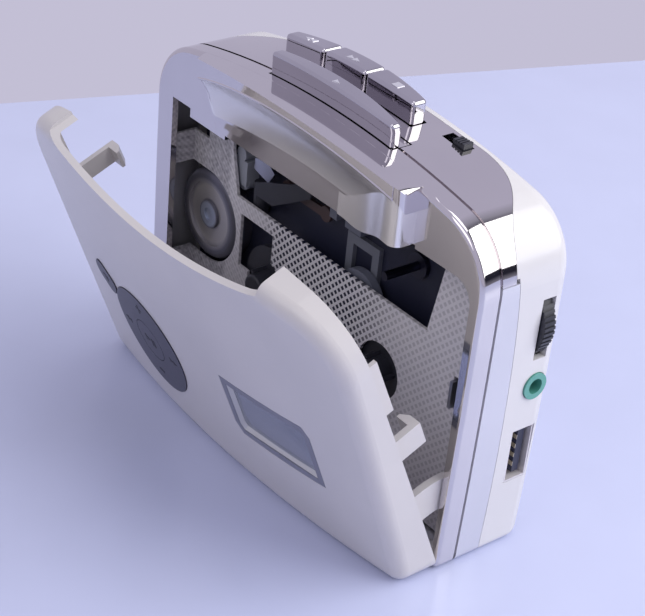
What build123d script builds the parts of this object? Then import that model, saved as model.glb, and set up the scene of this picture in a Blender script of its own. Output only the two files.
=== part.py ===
from build123d import *
import math
import os

# Portable cassette player, standing on its underside with the lid swung open.
# X runs along the body to the right, Y runs from the lid to the back, Z is up.
# The origin is on the underside, half way between the front and the back of the body.
# A "depth" is measured backwards from the front face of the chromed frame.

# Whole body, seen from the front
BODY_DEPTH = 25.4
BODY_HEIGHT = 86.5
FOOT_HALF_WIDTH = 56.0
WAIST_HALF_WIDTH = 57.1
WAIST_HEIGHT = 38.0
SHOULDER_HALF_WIDTH = 57.2
ARCH_RADIUS = 231.5
TOP_CORNER = 14.9
FOOT_CORNER = 2.2
WALL = 1.6
REAR_ROUND = 4.0
SEAM_GAP = 0.12
CLEARANCE = 0.3

# Front frame and the groove behind it
FRAME_DEPTH = 4.9
FRAME_ROUND = 1.2
GROOVE_WIDTH = 0.7
GROOVE_DEEP = 0.9
WINDOW_LEFT = -50.5
WINDOW_RIGHT = 54.3
WINDOW_FOOT = 3.0
WINDOW_TOP = BODY_HEIGHT - 19.7
WINDOW_STEP_TOP = BODY_HEIGHT - 16.3
WINDOW_CORNER = 5.0

# Visor over the lid's cut-out
VISOR_FOOT = WINDOW_TOP
VISOR_LEFT = -39.0
VISOR_TIP = -36.5
VISOR_RIGHT = 36.3
VISOR_TIP_REACH = 3.6
VISOR_REACH = 6.4
VISOR_RIGHT_REACH = 5.0
SCOOP_RADIUS = 18.0
SCOOP_HEIGHT = BODY_HEIGHT - 15.5
SCOOP_LEFT = -33.0
CHEEK_START = 6.0
CHEEK_REACH = 4.6

# Seams of the bands behind the frame
COVER_JOINT = BODY_HEIGHT - 17.0

# Transport keys
KEY_RISE = 5.2
KEY_TRAVEL = 2.2
KEY_FOOT = BODY_HEIGHT - 7.0
KEY_ROUND = 0.8
BAR_LEFT = -18.6
BAR_RIGHT = 23.0
BAR_FRONT = 3.4
BAR_BACK = 8.5
KEY_FRONT = 13.5
KEY_SPLITS = (-27.0, -13.1, 1.2, 17.2)
KEY_GAP = 0.4

# Hold slider
HOLD_LEFT = 26.1
HOLD_RIGHT = 29.5
HOLD_FRONT = 17.4
HOLD_BACK = 20.0
HOLD_TRAVEL = 2.8
HOLD_TOP = BODY_HEIGHT - 0.5
HOLD_FLANGE = BODY_HEIGHT - 4.6

# Lid and its hinge
OPEN_ANGLE = 24.5
HINGE_DEPTH = 1.8
HINGE_HEIGHT = 3.2
RIM_GAP = 0.15
LID_WALL = 1.6
FACE_HEIGHT = 12.2
FACE_CROWN = 350.0
FACE_TAPER = 0.055
TAPER_LEVEL = 40.0
LID_ROUND = 3.4
LID_CORNER = 3.6
HEEL_RISE = 0.35
FLOOR_GAP = 0.2
CUT_OUT = ((-41.5, 82.0), (-3.0, 76.8), (36.9, 81.8))
PIN_RADIUS = 0.8
PIN_FIT = 0.05
LUG_RADIUS = 1.4
LUG_INNER = FOOT_HALF_WIDTH - 5.0
LUG_OUTER = FOOT_HALF_WIDTH - 2.4
PIN_END = FOOT_HALF_WIDTH - 0.8

# Window, keypad and lens button in the lid, at their places on the closed lid
BEZEL = ((10.8, 43.0), (38.2, 45.2), (39.9, 42.8), (40.1, 27.2), (13.0, 25.7), (11.1, 28.4))
BEZEL_BORDER = 1.7
BEZEL_THICK = 1.8
RECESS_DEEP = 1.0
PAD_X = -22.3
PAD_Z = 31.1
PAD_RADIUS = 14.1
PAD_CENTRE_RADIUS = 5.5
PAD_PROUD = 0.25
PAD_TRAVEL = 0.4
LENS_X = -38.6
LENS_Z = 40.4
LENS_LENGTH = 9.4
LENS_WIDTH = 6.6
LENS_TURN = -32.0
BUTTON_FIT = 0.15
BUTTON_DEEP = 2.6
PANE_THICK = 0.7
BOARD_LEVEL = 6.0
BOARD_POSTS_X = (-42.8, -5.6)
BOARD_POSTS_Z = (13.0, 48.4)
BOARD_POST = 1.5
HORN_FOOT = BODY_HEIGHT - 12.5

# Lid arms: latch hooks and stop strap
RIGHT_ARM = (52.2, 53.8)
RIGHT_ARM_HEIGHTS = (35.7, 41.7)
RIGHT_ARM_REACH = 6.2
LEFT_ARM = (-50.0, -48.6)
LEFT_ARM_HEIGHTS = (58.6, 63.2)
LEFT_ARM_REACH = 6.8
HOOK_TIP = 3.4
STRAP_INNER = 12.5
STRAP_OUTER = 20.5
STRAP_SWEEP = 34.0
STRAP_SIDES = (52.3, 54.0)
TAB_SIDES = (53.0, 54.0)
TAB_HEIGHTS = (50.5, 65.0)
TAB_REACH = 1.5

# Deck and the cassette's places on it
DECK_DEPTH = 7.0
DECK_SHEET = 0.8
DECK_LEFT = -51.5
DECK_FOOT = 2.4
DECK_TOP = 71.0
HEAD_SILL = 48.3
SPACER_PLACES = ((-36.0, 22.0), (44.0, 25.0), (-41.0, 66.0), (43.5, 63.0))
SPACER_RADIUS = 1.8
CASSETTE_X = 1.8
SPINDLE_PITCH = 42.5
SPINDLE_HEIGHT = 30.6
REEL_RADIUS = 9.0
REEL_HOLE = 6.8
HUB_RADIUS = 3.2
HUB_FIN = 4.1
HUB_FRONT = 3.4
SHAFT_RADIUS = 1.0
SHAFT_FIT = 0.06

# Chassis and drive
CHASSIS_DEPTH = 12.2
CHASSIS_SHEET = 1.0
MOTOR_X = -43.7
MOTOR_Z = 37.8
MOTOR_RADIUS = 11.5
MOTOR_FRONT = 7.2
MOTOR_BACK = 20.4
CAPSTAN_X = 27.0
CAPSTAN_Z = 58.0
FLYWHEEL_RADIUS = 11.0
FLYWHEEL_FRONT = 20.6
FLYWHEEL_BACK = 23.2
CAPSTAN_FRONT = 1.9
BUSH_RADIUS = 3.0
MOTOR_SHAFT = 0.75
PULLEY_RADIUS = 2.2
PULLEY_FRONT = 20.6
BELT_SEAT = 10.4
BELT_FRONT = 21.4
BELT_WIDTH = 1.0
BELT_THICK = 0.8
BELT_FIT = 0.1
IDLER_X = 12.05
IDLER_Z = 42.6
IDLER_RADIUS = 7.0
GEAR_FRONT = 8.6
GEAR_BACK = 10.6

# Head plate, tape head and pinch roller
HEAD_TRAVEL = 4.0
HEAD_PLATE_DEPTH = 8.0
HEAD_X = 1.8
HEAD_WIDTH = 12.0
HEAD_LOW = 66.0
HEAD_TALL = 9.6
HEAD_FRONT = 2.2
PINCH_PIVOT_X = 38.5
PINCH_PIVOT_Z = 66.0
PINCH_X = 28.0
PINCH_Z = 70.0
PINCH_RADIUS = 4.6
PINCH_FRONT = 3.0
PINCH_BACK = 6.6
POST_RADIUS = 1.5
ARM_FRONT = 9.1
ARM_BACK = 10.0

# Right end: sockets and volume wheel
USB_DEPTH = 19.15
USB_HEIGHT = 24.65
USB_ACROSS = 13.4
USB_THICK = 6.2
USB_SHEET = 0.35
USB_LENGTH = 14.0
USB_MOUTH = 56.6
TONGUE_THICK = 1.9
TONGUE_ACROSS = 11.4
JACK_DEPTH = 19.7
JACK_HEIGHT = 42.1
JACK_BORE = 1.8
JACK_LENGTH = 12.5
JACK_COLLAR = 3.1
JACK_MOUTH = 57.6
WHEEL_X = 49.4
WHEEL_Z = 56.1
WHEEL_RADIUS = 9.4
WHEEL_FRONT = 18.2
WHEEL_BACK = 21.2
WHEEL_SLOT = (48.8, 63.4)
KNURLS = 48
POT_RADIUS = 5.0
POT_SHAFT = 1.5
BOARD_DEPTH = USB_DEPTH + USB_THICK / 2
BOARD_SHEET = 0.9
BOARD_SIDES = (38.8, 53.6)
BOARD_HEIGHTS = (19.0, 66.0)

# Battery bay
CELL_RADIUS = 7.0
CELL_LENGTH = 48.6
CELL_NUB = 1.3
CELL_DEPTH = 16.4
CELL_HEIGHT = 9.9
TRAY_LEFT = -52.9
TRAY_RIGHT = 51.7
TRAY_WALL = 0.7
TRAY_TOP = 17.8
TRAY_FRONT = 8.3
DOOR_RIGHT = 51.0
DOOR_LOW = 3.4
DOOR_HIGH = 17.2
DOOR_FRONT = 19.8

# Bent wire at the latch: depth and height of its turns
WIRE_TURNS = (
    (DECK_DEPTH, 26.0), (6.0, 26.0), (5.0, 24.2), (3.5, 23.2), (3.9, 20.5), (5.7, 15.2), (6.0, 13.4),
    (DECK_DEPTH, 13.4),
)
WIRE_RADIUS = 0.3

# Screws through the back
SCREW_PLACES = ((-48.5, 73.0), (47.0, 73.0), (-51.0, 23.0), (33.5, 23.0))
SCREW_HEAD = 2.3
SCREW_SHANK = 1.0
BOSS_RADIUS = 3.4

ARCH_CENTRE = BODY_HEIGHT - ARCH_RADIUS
FRONT_Y = -BODY_DEPTH / 2
GROOVE_BACK = FRAME_DEPTH + GROOVE_WIDTH
RIM_STANDOFF = HINGE_DEPTH + RIM_GAP
DECK_BACK = DECK_DEPTH + DECK_SHEET
CHASSIS_BACK = CHASSIS_DEPTH + CHASSIS_SHEET
LEFT_SPINDLE = CASSETTE_X - SPINDLE_PITCH / 2
RIGHT_SPINDLE = CASSETTE_X + SPINDLE_PITCH / 2
FAR = 200.0

os.makedirs("parts", exist_ok=True)


def finish(piece, name):
    """Labels the piece and writes it under its own name."""
    piece.part.label = name
    export_step(piece.part, f"parts/{name}.step")


def upright(depth):
    """Front view plane at this depth: x to the right, y up, facing forwards."""
    return Plane.XZ.offset(BODY_DEPTH / 2 - depth)


def side_on(x):
    """Side view plane at this x: its x runs to the back, its y runs up."""
    return Plane.YZ.offset(x)


def panel(left, right, low, high, mode=Mode.ADD):
    """Rectangle between its four edges, in the sketch that is open."""
    with Locations(((left + right) / 2, (low + high) / 2)):
        Rectangle(right - left, high - low, mode=mode)


def disc(x, z, radius, mode=Mode.ADD):
    """Circle at its centre, in the sketch that is open."""
    with Locations((x, z)):
        Circle(radius, mode=mode)


def arch_height(x, inset=0.0):
    """Height of the body's arched top at this x."""
    return ARCH_CENTRE + math.sqrt((ARCH_RADIUS - inset) ** 2 - x**2)


def case_section(inset=0.0, drop=0.0):
    """Front view of the body: bowed sides, arched top, rounded corners, and a foot let down by the drop."""
    foot = (FOOT_HALF_WIDTH - inset, inset)
    waist = (WAIST_HALF_WIDTH - inset, WAIST_HEIGHT)
    shoulder = (SHOULDER_HALF_WIDTH - inset, arch_height(SHOULDER_HALF_WIDTH - inset, inset))
    with BuildSketch() as section:
        with BuildLine():
            ThreePointArc(foot, waist, shoulder)
            ThreePointArc(shoulder, (0, BODY_HEIGHT - inset), (-shoulder[0], shoulder[1]))
            ThreePointArc((-shoulder[0], shoulder[1]), (-waist[0], waist[1]), (-foot[0], foot[1]))
            if drop:
                Polyline((-foot[0], foot[1]), (-foot[0], -drop), (foot[0], -drop), foot)
            else:
                Line((-foot[0], foot[1]), foot)
        make_face()
        fillet(section.vertices().group_by(Axis.Y)[-1], TOP_CORNER - inset)
        if not drop:
            fillet(section.vertices().group_by(Axis.Y)[0], FOOT_CORNER - inset)
    return section.sketch


outline = case_section()
wall_line = case_section(WALL)
groove_line = case_section(GROOVE_DEEP)
deck_line = case_section(WALL + CLEARANCE)


def rounded_case(section, front, back, rear_round):
    """Prism of the body's section from front to back, with its rear edge rounded."""
    with BuildPart() as form:
        with BuildSketch(upright(front)):
            add(section)
        extrude(amount=front - back)
        fillet(form.faces().sort_by(Axis.Y)[-1].edges(), rear_round)
    return form.part


rear_outside = rounded_case(outline, GROOVE_BACK, BODY_DEPTH, REAR_ROUND)
rear_inside = rounded_case(wall_line, GROOVE_BACK - 1, BODY_DEPTH - WALL, REAR_ROUND - WALL)
bay_inside = rounded_case(deck_line, GROOVE_BACK, BODY_DEPTH - WALL - SEAM_GAP, REAR_ROUND - WALL)


def cover_region(grow):
    """Everything over the top joint and in front of the cover's curved back edge."""
    side = SHOULDER_HALF_WIDTH + 2
    half = ((side, 9.2), (51.4, 11.7), (45.7, 16.5), (40.9, 19.7), (35.9, 21.3), (27.0, 21.2))
    right = [(x, FRONT_Y + depth + grow) for x, depth in half]
    left = [(-x, y) for x, y in reversed(right)]
    with BuildPart() as region:
        with BuildSketch(Plane.XY.offset(COVER_JOINT - grow)):
            with BuildLine():
                Spline(*right)
                Line(right[-1], left[0])
                Spline(*left)
                Polyline(left[-1], (-side, FRONT_Y), (side, FRONT_Y), right[0])
            make_face()
        extrude(amount=BODY_HEIGHT)
    return region.part


def band_region(grow):
    """Everything in front of the seam between the side band and the rear shell."""
    seam = ((12.2, -1.0), (12.5, 21.5), (12.1, 44.5), (11.2, 61.0), (10.1, COVER_JOINT + 1))
    edge = [(FRONT_Y + depth + grow, z) for depth, z in seam]
    with BuildPart() as region:
        with BuildSketch(side_on(0)):
            with BuildLine():
                Spline(*edge)
                Polyline(edge[-1], (FRONT_Y, edge[-1][1]), (FRONT_Y, edge[0][1]), edge[0])
            make_face()
        extrude(amount=FAR, both=True)
    return region.part


def over_joint(height):
    """Half space above a height."""
    with BuildPart() as region:
        with BuildSketch(Plane.XY.offset(height)):
            Rectangle(FAR, FAR)
        extrude(amount=FAR)
    return region.part


cover_cut = cover_region(0)
cover_cut_grown = cover_region(SEAM_GAP)
band_cut = band_region(0)
band_cut_grown = band_region(SEAM_GAP)
upper_space = over_joint(COVER_JOINT - SEAM_GAP)


# Visor: a lip that follows the arch over a scooped thumb rest, with a cheek on its right
def visor_body():
    front = FRONT_Y
    with BuildPart() as cheek:
        with BuildSketch(Plane.XY.offset(VISOR_FOOT)):
            with BuildLine():
                Polyline(
                    (CHEEK_START, front),
                    (VISOR_RIGHT, front - CHEEK_REACH),
                    (VISOR_RIGHT, front + WALL / 2),
                    (CHEEK_START, front + WALL / 2),
                    close=True,
                )
            make_face()
        extrude(amount=BODY_HEIGHT)
    with BuildPart() as body:
        with BuildSketch(Plane.XY.offset(VISOR_FOOT)):
            with BuildLine():
                Line((VISOR_LEFT, front), (VISOR_TIP, front - VISOR_TIP_REACH))
                ThreePointArc(
                    (VISOR_TIP, front - VISOR_TIP_REACH),
                    (0, front - VISOR_REACH),
                    (VISOR_RIGHT, front - VISOR_RIGHT_REACH),
                )
                Polyline(
                    (VISOR_RIGHT, front - VISOR_RIGHT_REACH),
                    (VISOR_RIGHT, front + WALL / 2),
                    (VISOR_LEFT, front + WALL / 2),
                    (VISOR_LEFT, front),
                )
            make_face()
        extrude(amount=BODY_HEIGHT)
        arch_axis = Axis((0, 0, ARCH_CENTRE), (0, 1, 0))
        for edge in (SCOOP_LEFT, VISOR_RIGHT + 1):
            turn = math.degrees(math.asin(edge / (SCOOP_HEIGHT - ARCH_CENTRE)))
            with BuildSketch(side_on(0)):
                with BuildLine():
                    CenterArc((front - SCOOP_RADIUS, SCOOP_HEIGHT), SCOOP_RADIUS, 0, 90)
                    Polyline(
                        (front - SCOOP_RADIUS, SCOOP_HEIGHT + SCOOP_RADIUS),
                        (front - SCOOP_RADIUS, VISOR_FOOT - 3),
                        (front, VISOR_FOOT - 3),
                        (front, SCOOP_HEIGHT),
                    )
                make_face()
            revolve(axis=arch_axis, revolution_arc=turn, mode=Mode.SUBTRACT)
        add(cheek.part)
        with BuildSketch(upright(-SCOOP_RADIUS)):
            disc(0, ARCH_CENTRE, ARCH_RADIUS)
        extrude(amount=-2 * SCOOP_RADIUS, mode=Mode.INTERSECT)
    return body.part


visor = visor_body()


def window_face():
    """Opening of the front frame over the cassette well."""
    with BuildSketch() as face:
        with BuildLine():
            Polyline(
                (WINDOW_LEFT, WINDOW_FOOT),
                (WINDOW_RIGHT, WINDOW_FOOT),
                (WINDOW_RIGHT, WINDOW_STEP_TOP),
                (36.0, WINDOW_STEP_TOP),
                (31.0, WINDOW_TOP),
                (-26.2, WINDOW_TOP),
                (-26.2, WINDOW_STEP_TOP),
                (-29.1, WINDOW_STEP_TOP),
                (-29.1, WINDOW_TOP - 1.1),
                (-43.2, WINDOW_TOP - 1.1),
                (-43.2, WINDOW_TOP + 1.1),
                (WINDOW_LEFT, WINDOW_TOP + 1.1),
                close=True,
            )
        make_face()
        fillet(face.vertices().group_by(Axis.X)[-1].group_by(Axis.Y)[-1], WINDOW_CORNER)
    return face.sketch


window = window_face()


def bar_slot_face():
    """Plan of the slot for the front bar."""
    with BuildSketch() as face:
        panel(
            BAR_LEFT - CLEARANCE,
            BAR_RIGHT + CLEARANCE,
            FRONT_Y + BAR_FRONT - CLEARANCE,
            FRONT_Y + BAR_BACK + CLEARANCE,
        )
    return face.sketch


bar_slot = bar_slot_face()

with BuildPart() as front_frame:
    with BuildSketch(upright(0)):
        add(outline)
    extrude(amount=-FRAME_DEPTH)
    fillet(front_frame.faces().sort_by(Axis.Y)[0].edges(), FRAME_ROUND)
    with BuildSketch(upright(WALL)):
        add(wall_line)
    extrude(amount=-FRAME_DEPTH, mode=Mode.SUBTRACT)
    with BuildSketch(upright(0)):
        add(window)
        for side in (-1, 1):
            inner = side * (LUG_INNER - CLEARANCE)
            outer = side * (LUG_OUTER + CLEARANCE)
            low = HINGE_HEIGHT - LUG_RADIUS - 2 * CLEARANCE
            panel(min(inner, outer), max(inner, outer), low, WINDOW_FOOT + 2 * LUG_RADIUS + CLEARANCE)
    extrude(amount=-WALL, mode=Mode.SUBTRACT)
    add(visor)
    with BuildSketch(Plane.XY.offset(COVER_JOINT)):
        add(bar_slot)
    extrude(amount=BODY_HEIGHT, mode=Mode.SUBTRACT)
    for side in (-1, 1):
        with BuildSketch(side_on(side * LUG_OUTER)):
            disc(FRONT_Y + HINGE_DEPTH, HINGE_HEIGHT, PIN_RADIUS + PIN_FIT)
        extrude(amount=side * (PIN_END + PIN_FIT - LUG_OUTER), mode=Mode.SUBTRACT)
finish(front_frame, "front_frame")


def key_bank_face(grow):
    """Plan of the three rear keys together, or of their slot."""
    left, right = KEY_SPLITS[0], KEY_SPLITS[-1]
    front = FRONT_Y + KEY_FRONT
    with BuildSketch() as face:
        with BuildLine():
            ThreePointArc((left, FRONT_Y + 17.1), (-5.0, FRONT_Y + 19.7), (right, FRONT_Y + 17.4))
            Polyline((right, FRONT_Y + 17.4), (right, front), (left, front), (left, FRONT_Y + 17.1))
        make_face()
        if grow:
            offset(amount=grow, kind=Kind.INTERSECTION)
    return face.sketch


key_bank = key_bank_face(0)
key_slot = key_bank_face(CLEARANCE)

with BuildPart() as top_cover:
    add(rear_outside)
    add(rear_inside, mode=Mode.SUBTRACT)
    add(cover_cut, mode=Mode.INTERSECT)
    with BuildSketch(upright(FRAME_DEPTH)):
        add(groove_line)
        add(wall_line, mode=Mode.SUBTRACT)
        panel(-FAR, FAR, -FAR, COVER_JOINT, mode=Mode.SUBTRACT)
    extrude(amount=-GROOVE_WIDTH)
    with BuildSketch(Plane.XY.offset(COVER_JOINT)):
        add(bar_slot)
        add(key_slot)
        panel(
            HOLD_LEFT - HOLD_TRAVEL - CLEARANCE,
            HOLD_RIGHT + CLEARANCE,
            FRONT_Y + HOLD_FRONT - CLEARANCE,
            FRONT_Y + HOLD_BACK + CLEARANCE,
        )
    extrude(amount=BODY_HEIGHT, mode=Mode.SUBTRACT)
finish(top_cover, "top_cover")

with BuildPart() as side_band:
    add(rear_outside)
    add(rear_inside, mode=Mode.SUBTRACT)
    add(band_cut, mode=Mode.INTERSECT)
    with BuildSketch(upright(FRAME_DEPTH)):
        add(groove_line)
        add(wall_line, mode=Mode.SUBTRACT)
    extrude(amount=-GROOVE_WIDTH)
    add(upper_space, mode=Mode.SUBTRACT)
finish(side_band, "side_band")


def door_region(grow):
    """Space of the battery door, grown all round for the opening that it fills."""
    with BuildPart() as region:
        with BuildSketch(upright(DOOR_FRONT - grow)):
            panel(-FAR, DOOR_RIGHT + grow, DOOR_LOW - grow, DOOR_HIGH + grow)
        extrude(amount=-BODY_DEPTH)
    return region.part


door_cut = door_region(0)
door_opening = door_region(CLEARANCE)

with BuildPart() as rear_shell:
    add(rear_outside)
    add(rear_inside, mode=Mode.SUBTRACT)
    add(cover_cut_grown, mode=Mode.SUBTRACT)
    add(band_cut_grown, mode=Mode.SUBTRACT)
    with BuildSketch(upright(CHASSIS_BACK + SEAM_GAP)):
        for x, z in SCREW_PLACES:
            disc(x, z, BOSS_RADIUS)
    extrude(amount=-(BODY_DEPTH - WALL / 2 - CHASSIS_BACK - SEAM_GAP))
    with BuildSketch(upright(FLYWHEEL_BACK + SEAM_GAP)):
        disc(CAPSTAN_X, CAPSTAN_Z, 2 * SHAFT_RADIUS)
    extrude(amount=-(BODY_DEPTH - WALL / 2 - FLYWHEEL_BACK - SEAM_GAP))
    add(door_opening, mode=Mode.SUBTRACT)
    with BuildSketch(side_on(SHOULDER_HALF_WIDTH - 2 * WALL)):
        panel(
            FRONT_Y + USB_DEPTH - USB_THICK / 2 - SEAM_GAP,
            FRONT_Y + USB_DEPTH + USB_THICK / 2 + SEAM_GAP,
            USB_HEIGHT - USB_ACROSS / 2 - SEAM_GAP,
            USB_HEIGHT + USB_ACROSS / 2 + SEAM_GAP,
        )
        disc(FRONT_Y + JACK_DEPTH, JACK_HEIGHT, JACK_COLLAR + SEAM_GAP)
        panel(
            FRONT_Y + WHEEL_FRONT - CLEARANCE,
            FRONT_Y + WHEEL_BACK + CLEARANCE,
            WHEEL_SLOT[0],
            WHEEL_SLOT[1],
        )
    extrude(amount=4 * WALL, mode=Mode.SUBTRACT)
    for x, z in SCREW_PLACES:
        with BuildSketch(upright(BODY_DEPTH)):
            disc(x, z, SCREW_HEAD + SEAM_GAP)
        extrude(amount=2 * WALL, mode=Mode.SUBTRACT, both=True)
        with BuildSketch(upright(BODY_DEPTH)):
            disc(x, z, SCREW_SHANK + PIN_FIT)
        extrude(amount=BODY_DEPTH, mode=Mode.SUBTRACT, both=True)
finish(rear_shell, "rear_shell")

with BuildPart() as screws:
    for x, z in SCREW_PLACES:
        with BuildSketch(upright(CHASSIS_DEPTH + SEAM_GAP)):
            disc(x, z, SCREW_SHANK)
        extrude(amount=-(BODY_DEPTH - 2 * WALL - CHASSIS_DEPTH - SEAM_GAP))
        with BuildSketch(upright(BODY_DEPTH - 2 * WALL)):
            disc(x, z, SCREW_HEAD)
        extrude(amount=-WALL)
        with BuildSketch(upright(BODY_DEPTH - WALL)):
            panel(x - SCREW_SHANK, x + SCREW_SHANK, z - 0.3, z + 0.3)
            panel(x - 0.3, x + 0.3, z - SCREW_SHANK, z + SCREW_SHANK)
        extrude(amount=WALL / 2, mode=Mode.SUBTRACT)
finish(screws, "screws")

with BuildPart() as battery_door:
    add(rear_outside)
    add(rear_inside, mode=Mode.SUBTRACT)
    add(door_cut, mode=Mode.INTERSECT)
    with BuildSketch(upright(BODY_DEPTH)):
        for step in range(3):
            grip = -44.0 - 2.2 * step
            panel(grip, grip + 1.1, DOOR_LOW + 4, DOOR_HIGH - 4)
    extrude(amount=-WALL / 4, mode=Mode.SUBTRACT)
finish(battery_door, "battery_door")


# Lid, built in its own plane: x along the hinge, y up the lid, outwards from the rim
open_turn = math.radians(OPEN_ANGLE)
lid_out = Vector(0, -math.cos(open_turn), -math.sin(open_turn))
lid_up = Vector(0, -math.sin(open_turn), math.cos(open_turn))
hinge_point = Vector(0, FRONT_Y + HINGE_DEPTH, HINGE_HEIGHT)


def lid_face(level):
    """Plane of the lid at this level outwards from the hinge axis."""
    return Plane(origin=hinge_point + lid_out * level, x_dir=(1, 0, 0), z_dir=lid_out)


def lid_side(x):
    """Side view of the lid: x outwards from the hinge axis, y up the lid."""
    return Plane(origin=hinge_point + Vector(x, 0, 0), x_dir=lid_out, z_dir=(-1, 0, 0))


def on_lid(x, z):
    """Place on the lid of a point given by its x and height on the closed lid."""
    return (x, z - HINGE_HEIGHT)


def crown_plane():
    """Plane square to the face's straight lines, through the face at the taper level."""
    lean = math.atan(FACE_TAPER)
    along = lid_up * math.cos(lean) - lid_out * math.sin(lean)
    middle = hinge_point + lid_up * (TAPER_LEVEL - HINGE_HEIGHT) + lid_out * (RIM_STANDOFF + FACE_HEIGHT)
    return Plane(origin=middle, x_dir=(1, 0, 0), z_dir=along)


def under_crown(drop):
    """Everything behind the lid's crowned face, or behind a face this much lower."""
    wide = 1.2 * SHOULDER_HALF_WIDTH
    sag = FACE_CROWN - math.sqrt(FACE_CROWN**2 - wide**2)
    with BuildPart() as region:
        with BuildSketch(crown_plane()):
            with BuildLine():
                ThreePointArc((-wide, sag + drop), (0, drop), (wide, sag + drop))
                Polyline((wide, sag + drop), (wide, BODY_DEPTH), (-wide, BODY_DEPTH), (-wide, sag + drop))
            make_face()
        extrude(amount=BODY_HEIGHT, both=True)
    return region.part


def heel_line():
    """Ends of the lid's heel: upright at rest, just clear of the frame and the table."""
    top_height = HINGE_HEIGHT + math.cos(open_turn) * HEEL_RISE - math.sin(open_turn) * RIM_STANDOFF
    fall = top_height - FLOOR_GAP
    foot = (RIM_STANDOFF + fall * math.sin(open_turn), HEEL_RISE - fall * math.cos(open_turn))
    return (RIM_STANDOFF, HEEL_RISE), foot


heel_top, heel_foot = heel_line()


def lid_form(inset, edge_round, corner_round):
    """Outer form of the lid, or its hollow when inset by the wall."""
    section = case_section(inset, drop=2 * LID_CORNER)
    crown = under_crown(inset)
    low_end = (heel_foot[0] + BODY_DEPTH, heel_foot[1] + BODY_DEPTH * math.tan(open_turn))
    with BuildSketch() as profile:
        with BuildLine():
            Polyline(
                heel_top, heel_foot, low_end, (low_end[0], BODY_HEIGHT), (RIM_STANDOFF, BODY_HEIGHT), close=True
            )
        make_face()
        if inset:
            offset(amount=-inset, kind=Kind.INTERSECTION)
            panel(RIM_STANDOFF - inset, RIM_STANDOFF + 2 * inset, HEEL_RISE + 1.2 * inset, BODY_HEIGHT - inset)
    with BuildPart() as form:
        with BuildSketch(lid_face(RIM_STANDOFF - inset)):
            with Locations((0, -HINGE_HEIGHT)):
                add(section)
        extrude(amount=2 * BODY_DEPTH)
        add(crown, mode=Mode.INTERSECT)
        with BuildSketch(lid_side(0)):
            add(profile.sketch)
        extrude(amount=FAR, both=True, mode=Mode.INTERSECT)
        foot_edges = form.faces().sort_by(Axis.Z)[0].edges().sort_by(Axis.X)
        fillet([foot_edges[0], foot_edges[-1]], corner_round)
        fillet(form.faces().sort_by(Axis(hinge_point, lid_out))[-1].edges(), edge_round)
    return form.part


lid_outside = lid_form(0, LID_ROUND, LID_CORNER)
lid_inside = lid_form(LID_WALL, LID_ROUND - LID_WALL, LID_CORNER - LID_WALL)


def lid_plan(height):
    """Plane across the lid at a height on the closed lid: y runs inwards."""
    return Plane(origin=hinge_point + lid_up * (height - HINGE_HEIGHT), x_dir=(1, 0, 0), z_dir=lid_up)


def cut_out_part():
    """Everything over the lid's cut-out curve, between its two horns."""
    with BuildPart() as region:
        with BuildSketch(lid_face(0)):
            start, middle, end = [on_lid(x, z) for x, z in CUT_OUT]
            with BuildLine():
                ThreePointArc(start, middle, end)
                Polyline(end, (end[0], 2 * BODY_HEIGHT), (start[0], 2 * BODY_HEIGHT), start)
            make_face()
        extrude(amount=2 * BODY_DEPTH)
    return region.part


def hook(side, arm, heights, reach):
    """Latch arm with its tip turned inwards and a web to the lid's side wall."""
    inner, outer = sorted((abs(arm[0]), abs(arm[1])))
    tip = inner - HOOK_TIP
    with BuildPart() as piece:
        with BuildSketch(lid_plan(heights[0])):
            with BuildLine():
                Polyline(
                    (side * outer, -6),
                    (side * outer, reach),
                    (side * (tip + 2), reach),
                    (side * tip, reach - 1.2),
                    (side * tip, reach - 2.0),
                    (side * inner, reach - 2.0),
                    (side * inner, -6),
                    close=True,
                )
            make_face()
        extrude(amount=heights[1] - heights[0])
        middle = (heights[0] + heights[1]) / 2
        with BuildSketch(lid_plan(middle - 0.6)):
            wall = side * (SHOULDER_HALF_WIDTH - LID_WALL / 2 - 0.4)
            panel(min(side * inner, wall), max(side * inner, wall), -6, -RIM_STANDOFF - 0.4)
        extrude(amount=1.2)
    return piece.part


right_hook = hook(1, RIGHT_ARM, RIGHT_ARM_HEIGHTS, RIGHT_ARM_REACH)
left_hook = hook(-1, LEFT_ARM, LEFT_ARM_HEIGHTS, LEFT_ARM_REACH)


def stop_strap():
    """Curved strap about the hinge, which runs on behind the lid."""
    lead = math.radians(20)
    trail = math.radians(STRAP_SWEEP)
    far = 2 * STRAP_OUTER
    with BuildPart() as piece:
        with BuildSketch(lid_side(STRAP_SIDES[0])):
            Circle(STRAP_OUTER)
            Circle(STRAP_INNER, mode=Mode.SUBTRACT)
            with BuildLine():
                Polyline(
                    (0, 0),
                    (far * math.sin(lead), far * math.cos(lead)),
                    (-far * math.sin(trail), far * math.cos(trail)),
                    close=True,
                )
            make_face(mode=Mode.INTERSECT)
        extrude(amount=STRAP_SIDES[0] - STRAP_SIDES[1])
        with BuildSketch(lid_side(STRAP_SIDES[0])):
            panel(RIM_STANDOFF + 0.4, 6, STRAP_INNER, STRAP_OUTER - 3)
        extrude(amount=STRAP_SIDES[0] - FOOT_HALF_WIDTH + 0.4)
    return piece.part


strap = stop_strap()


def lens_face(grow):
    """Outline of the lens button, or of its opening."""
    with BuildSketch() as face:
        with Locations(Location((LENS_X, LENS_Z - HINGE_HEIGHT, 0), (0, 0, LENS_TURN))):
            SlotOverall(LENS_LENGTH + 2 * grow, LENS_WIDTH + 2 * grow)
    return face.sketch


lens_outline = lens_face(0)
lens_hole = lens_face(BUTTON_FIT)


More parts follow.
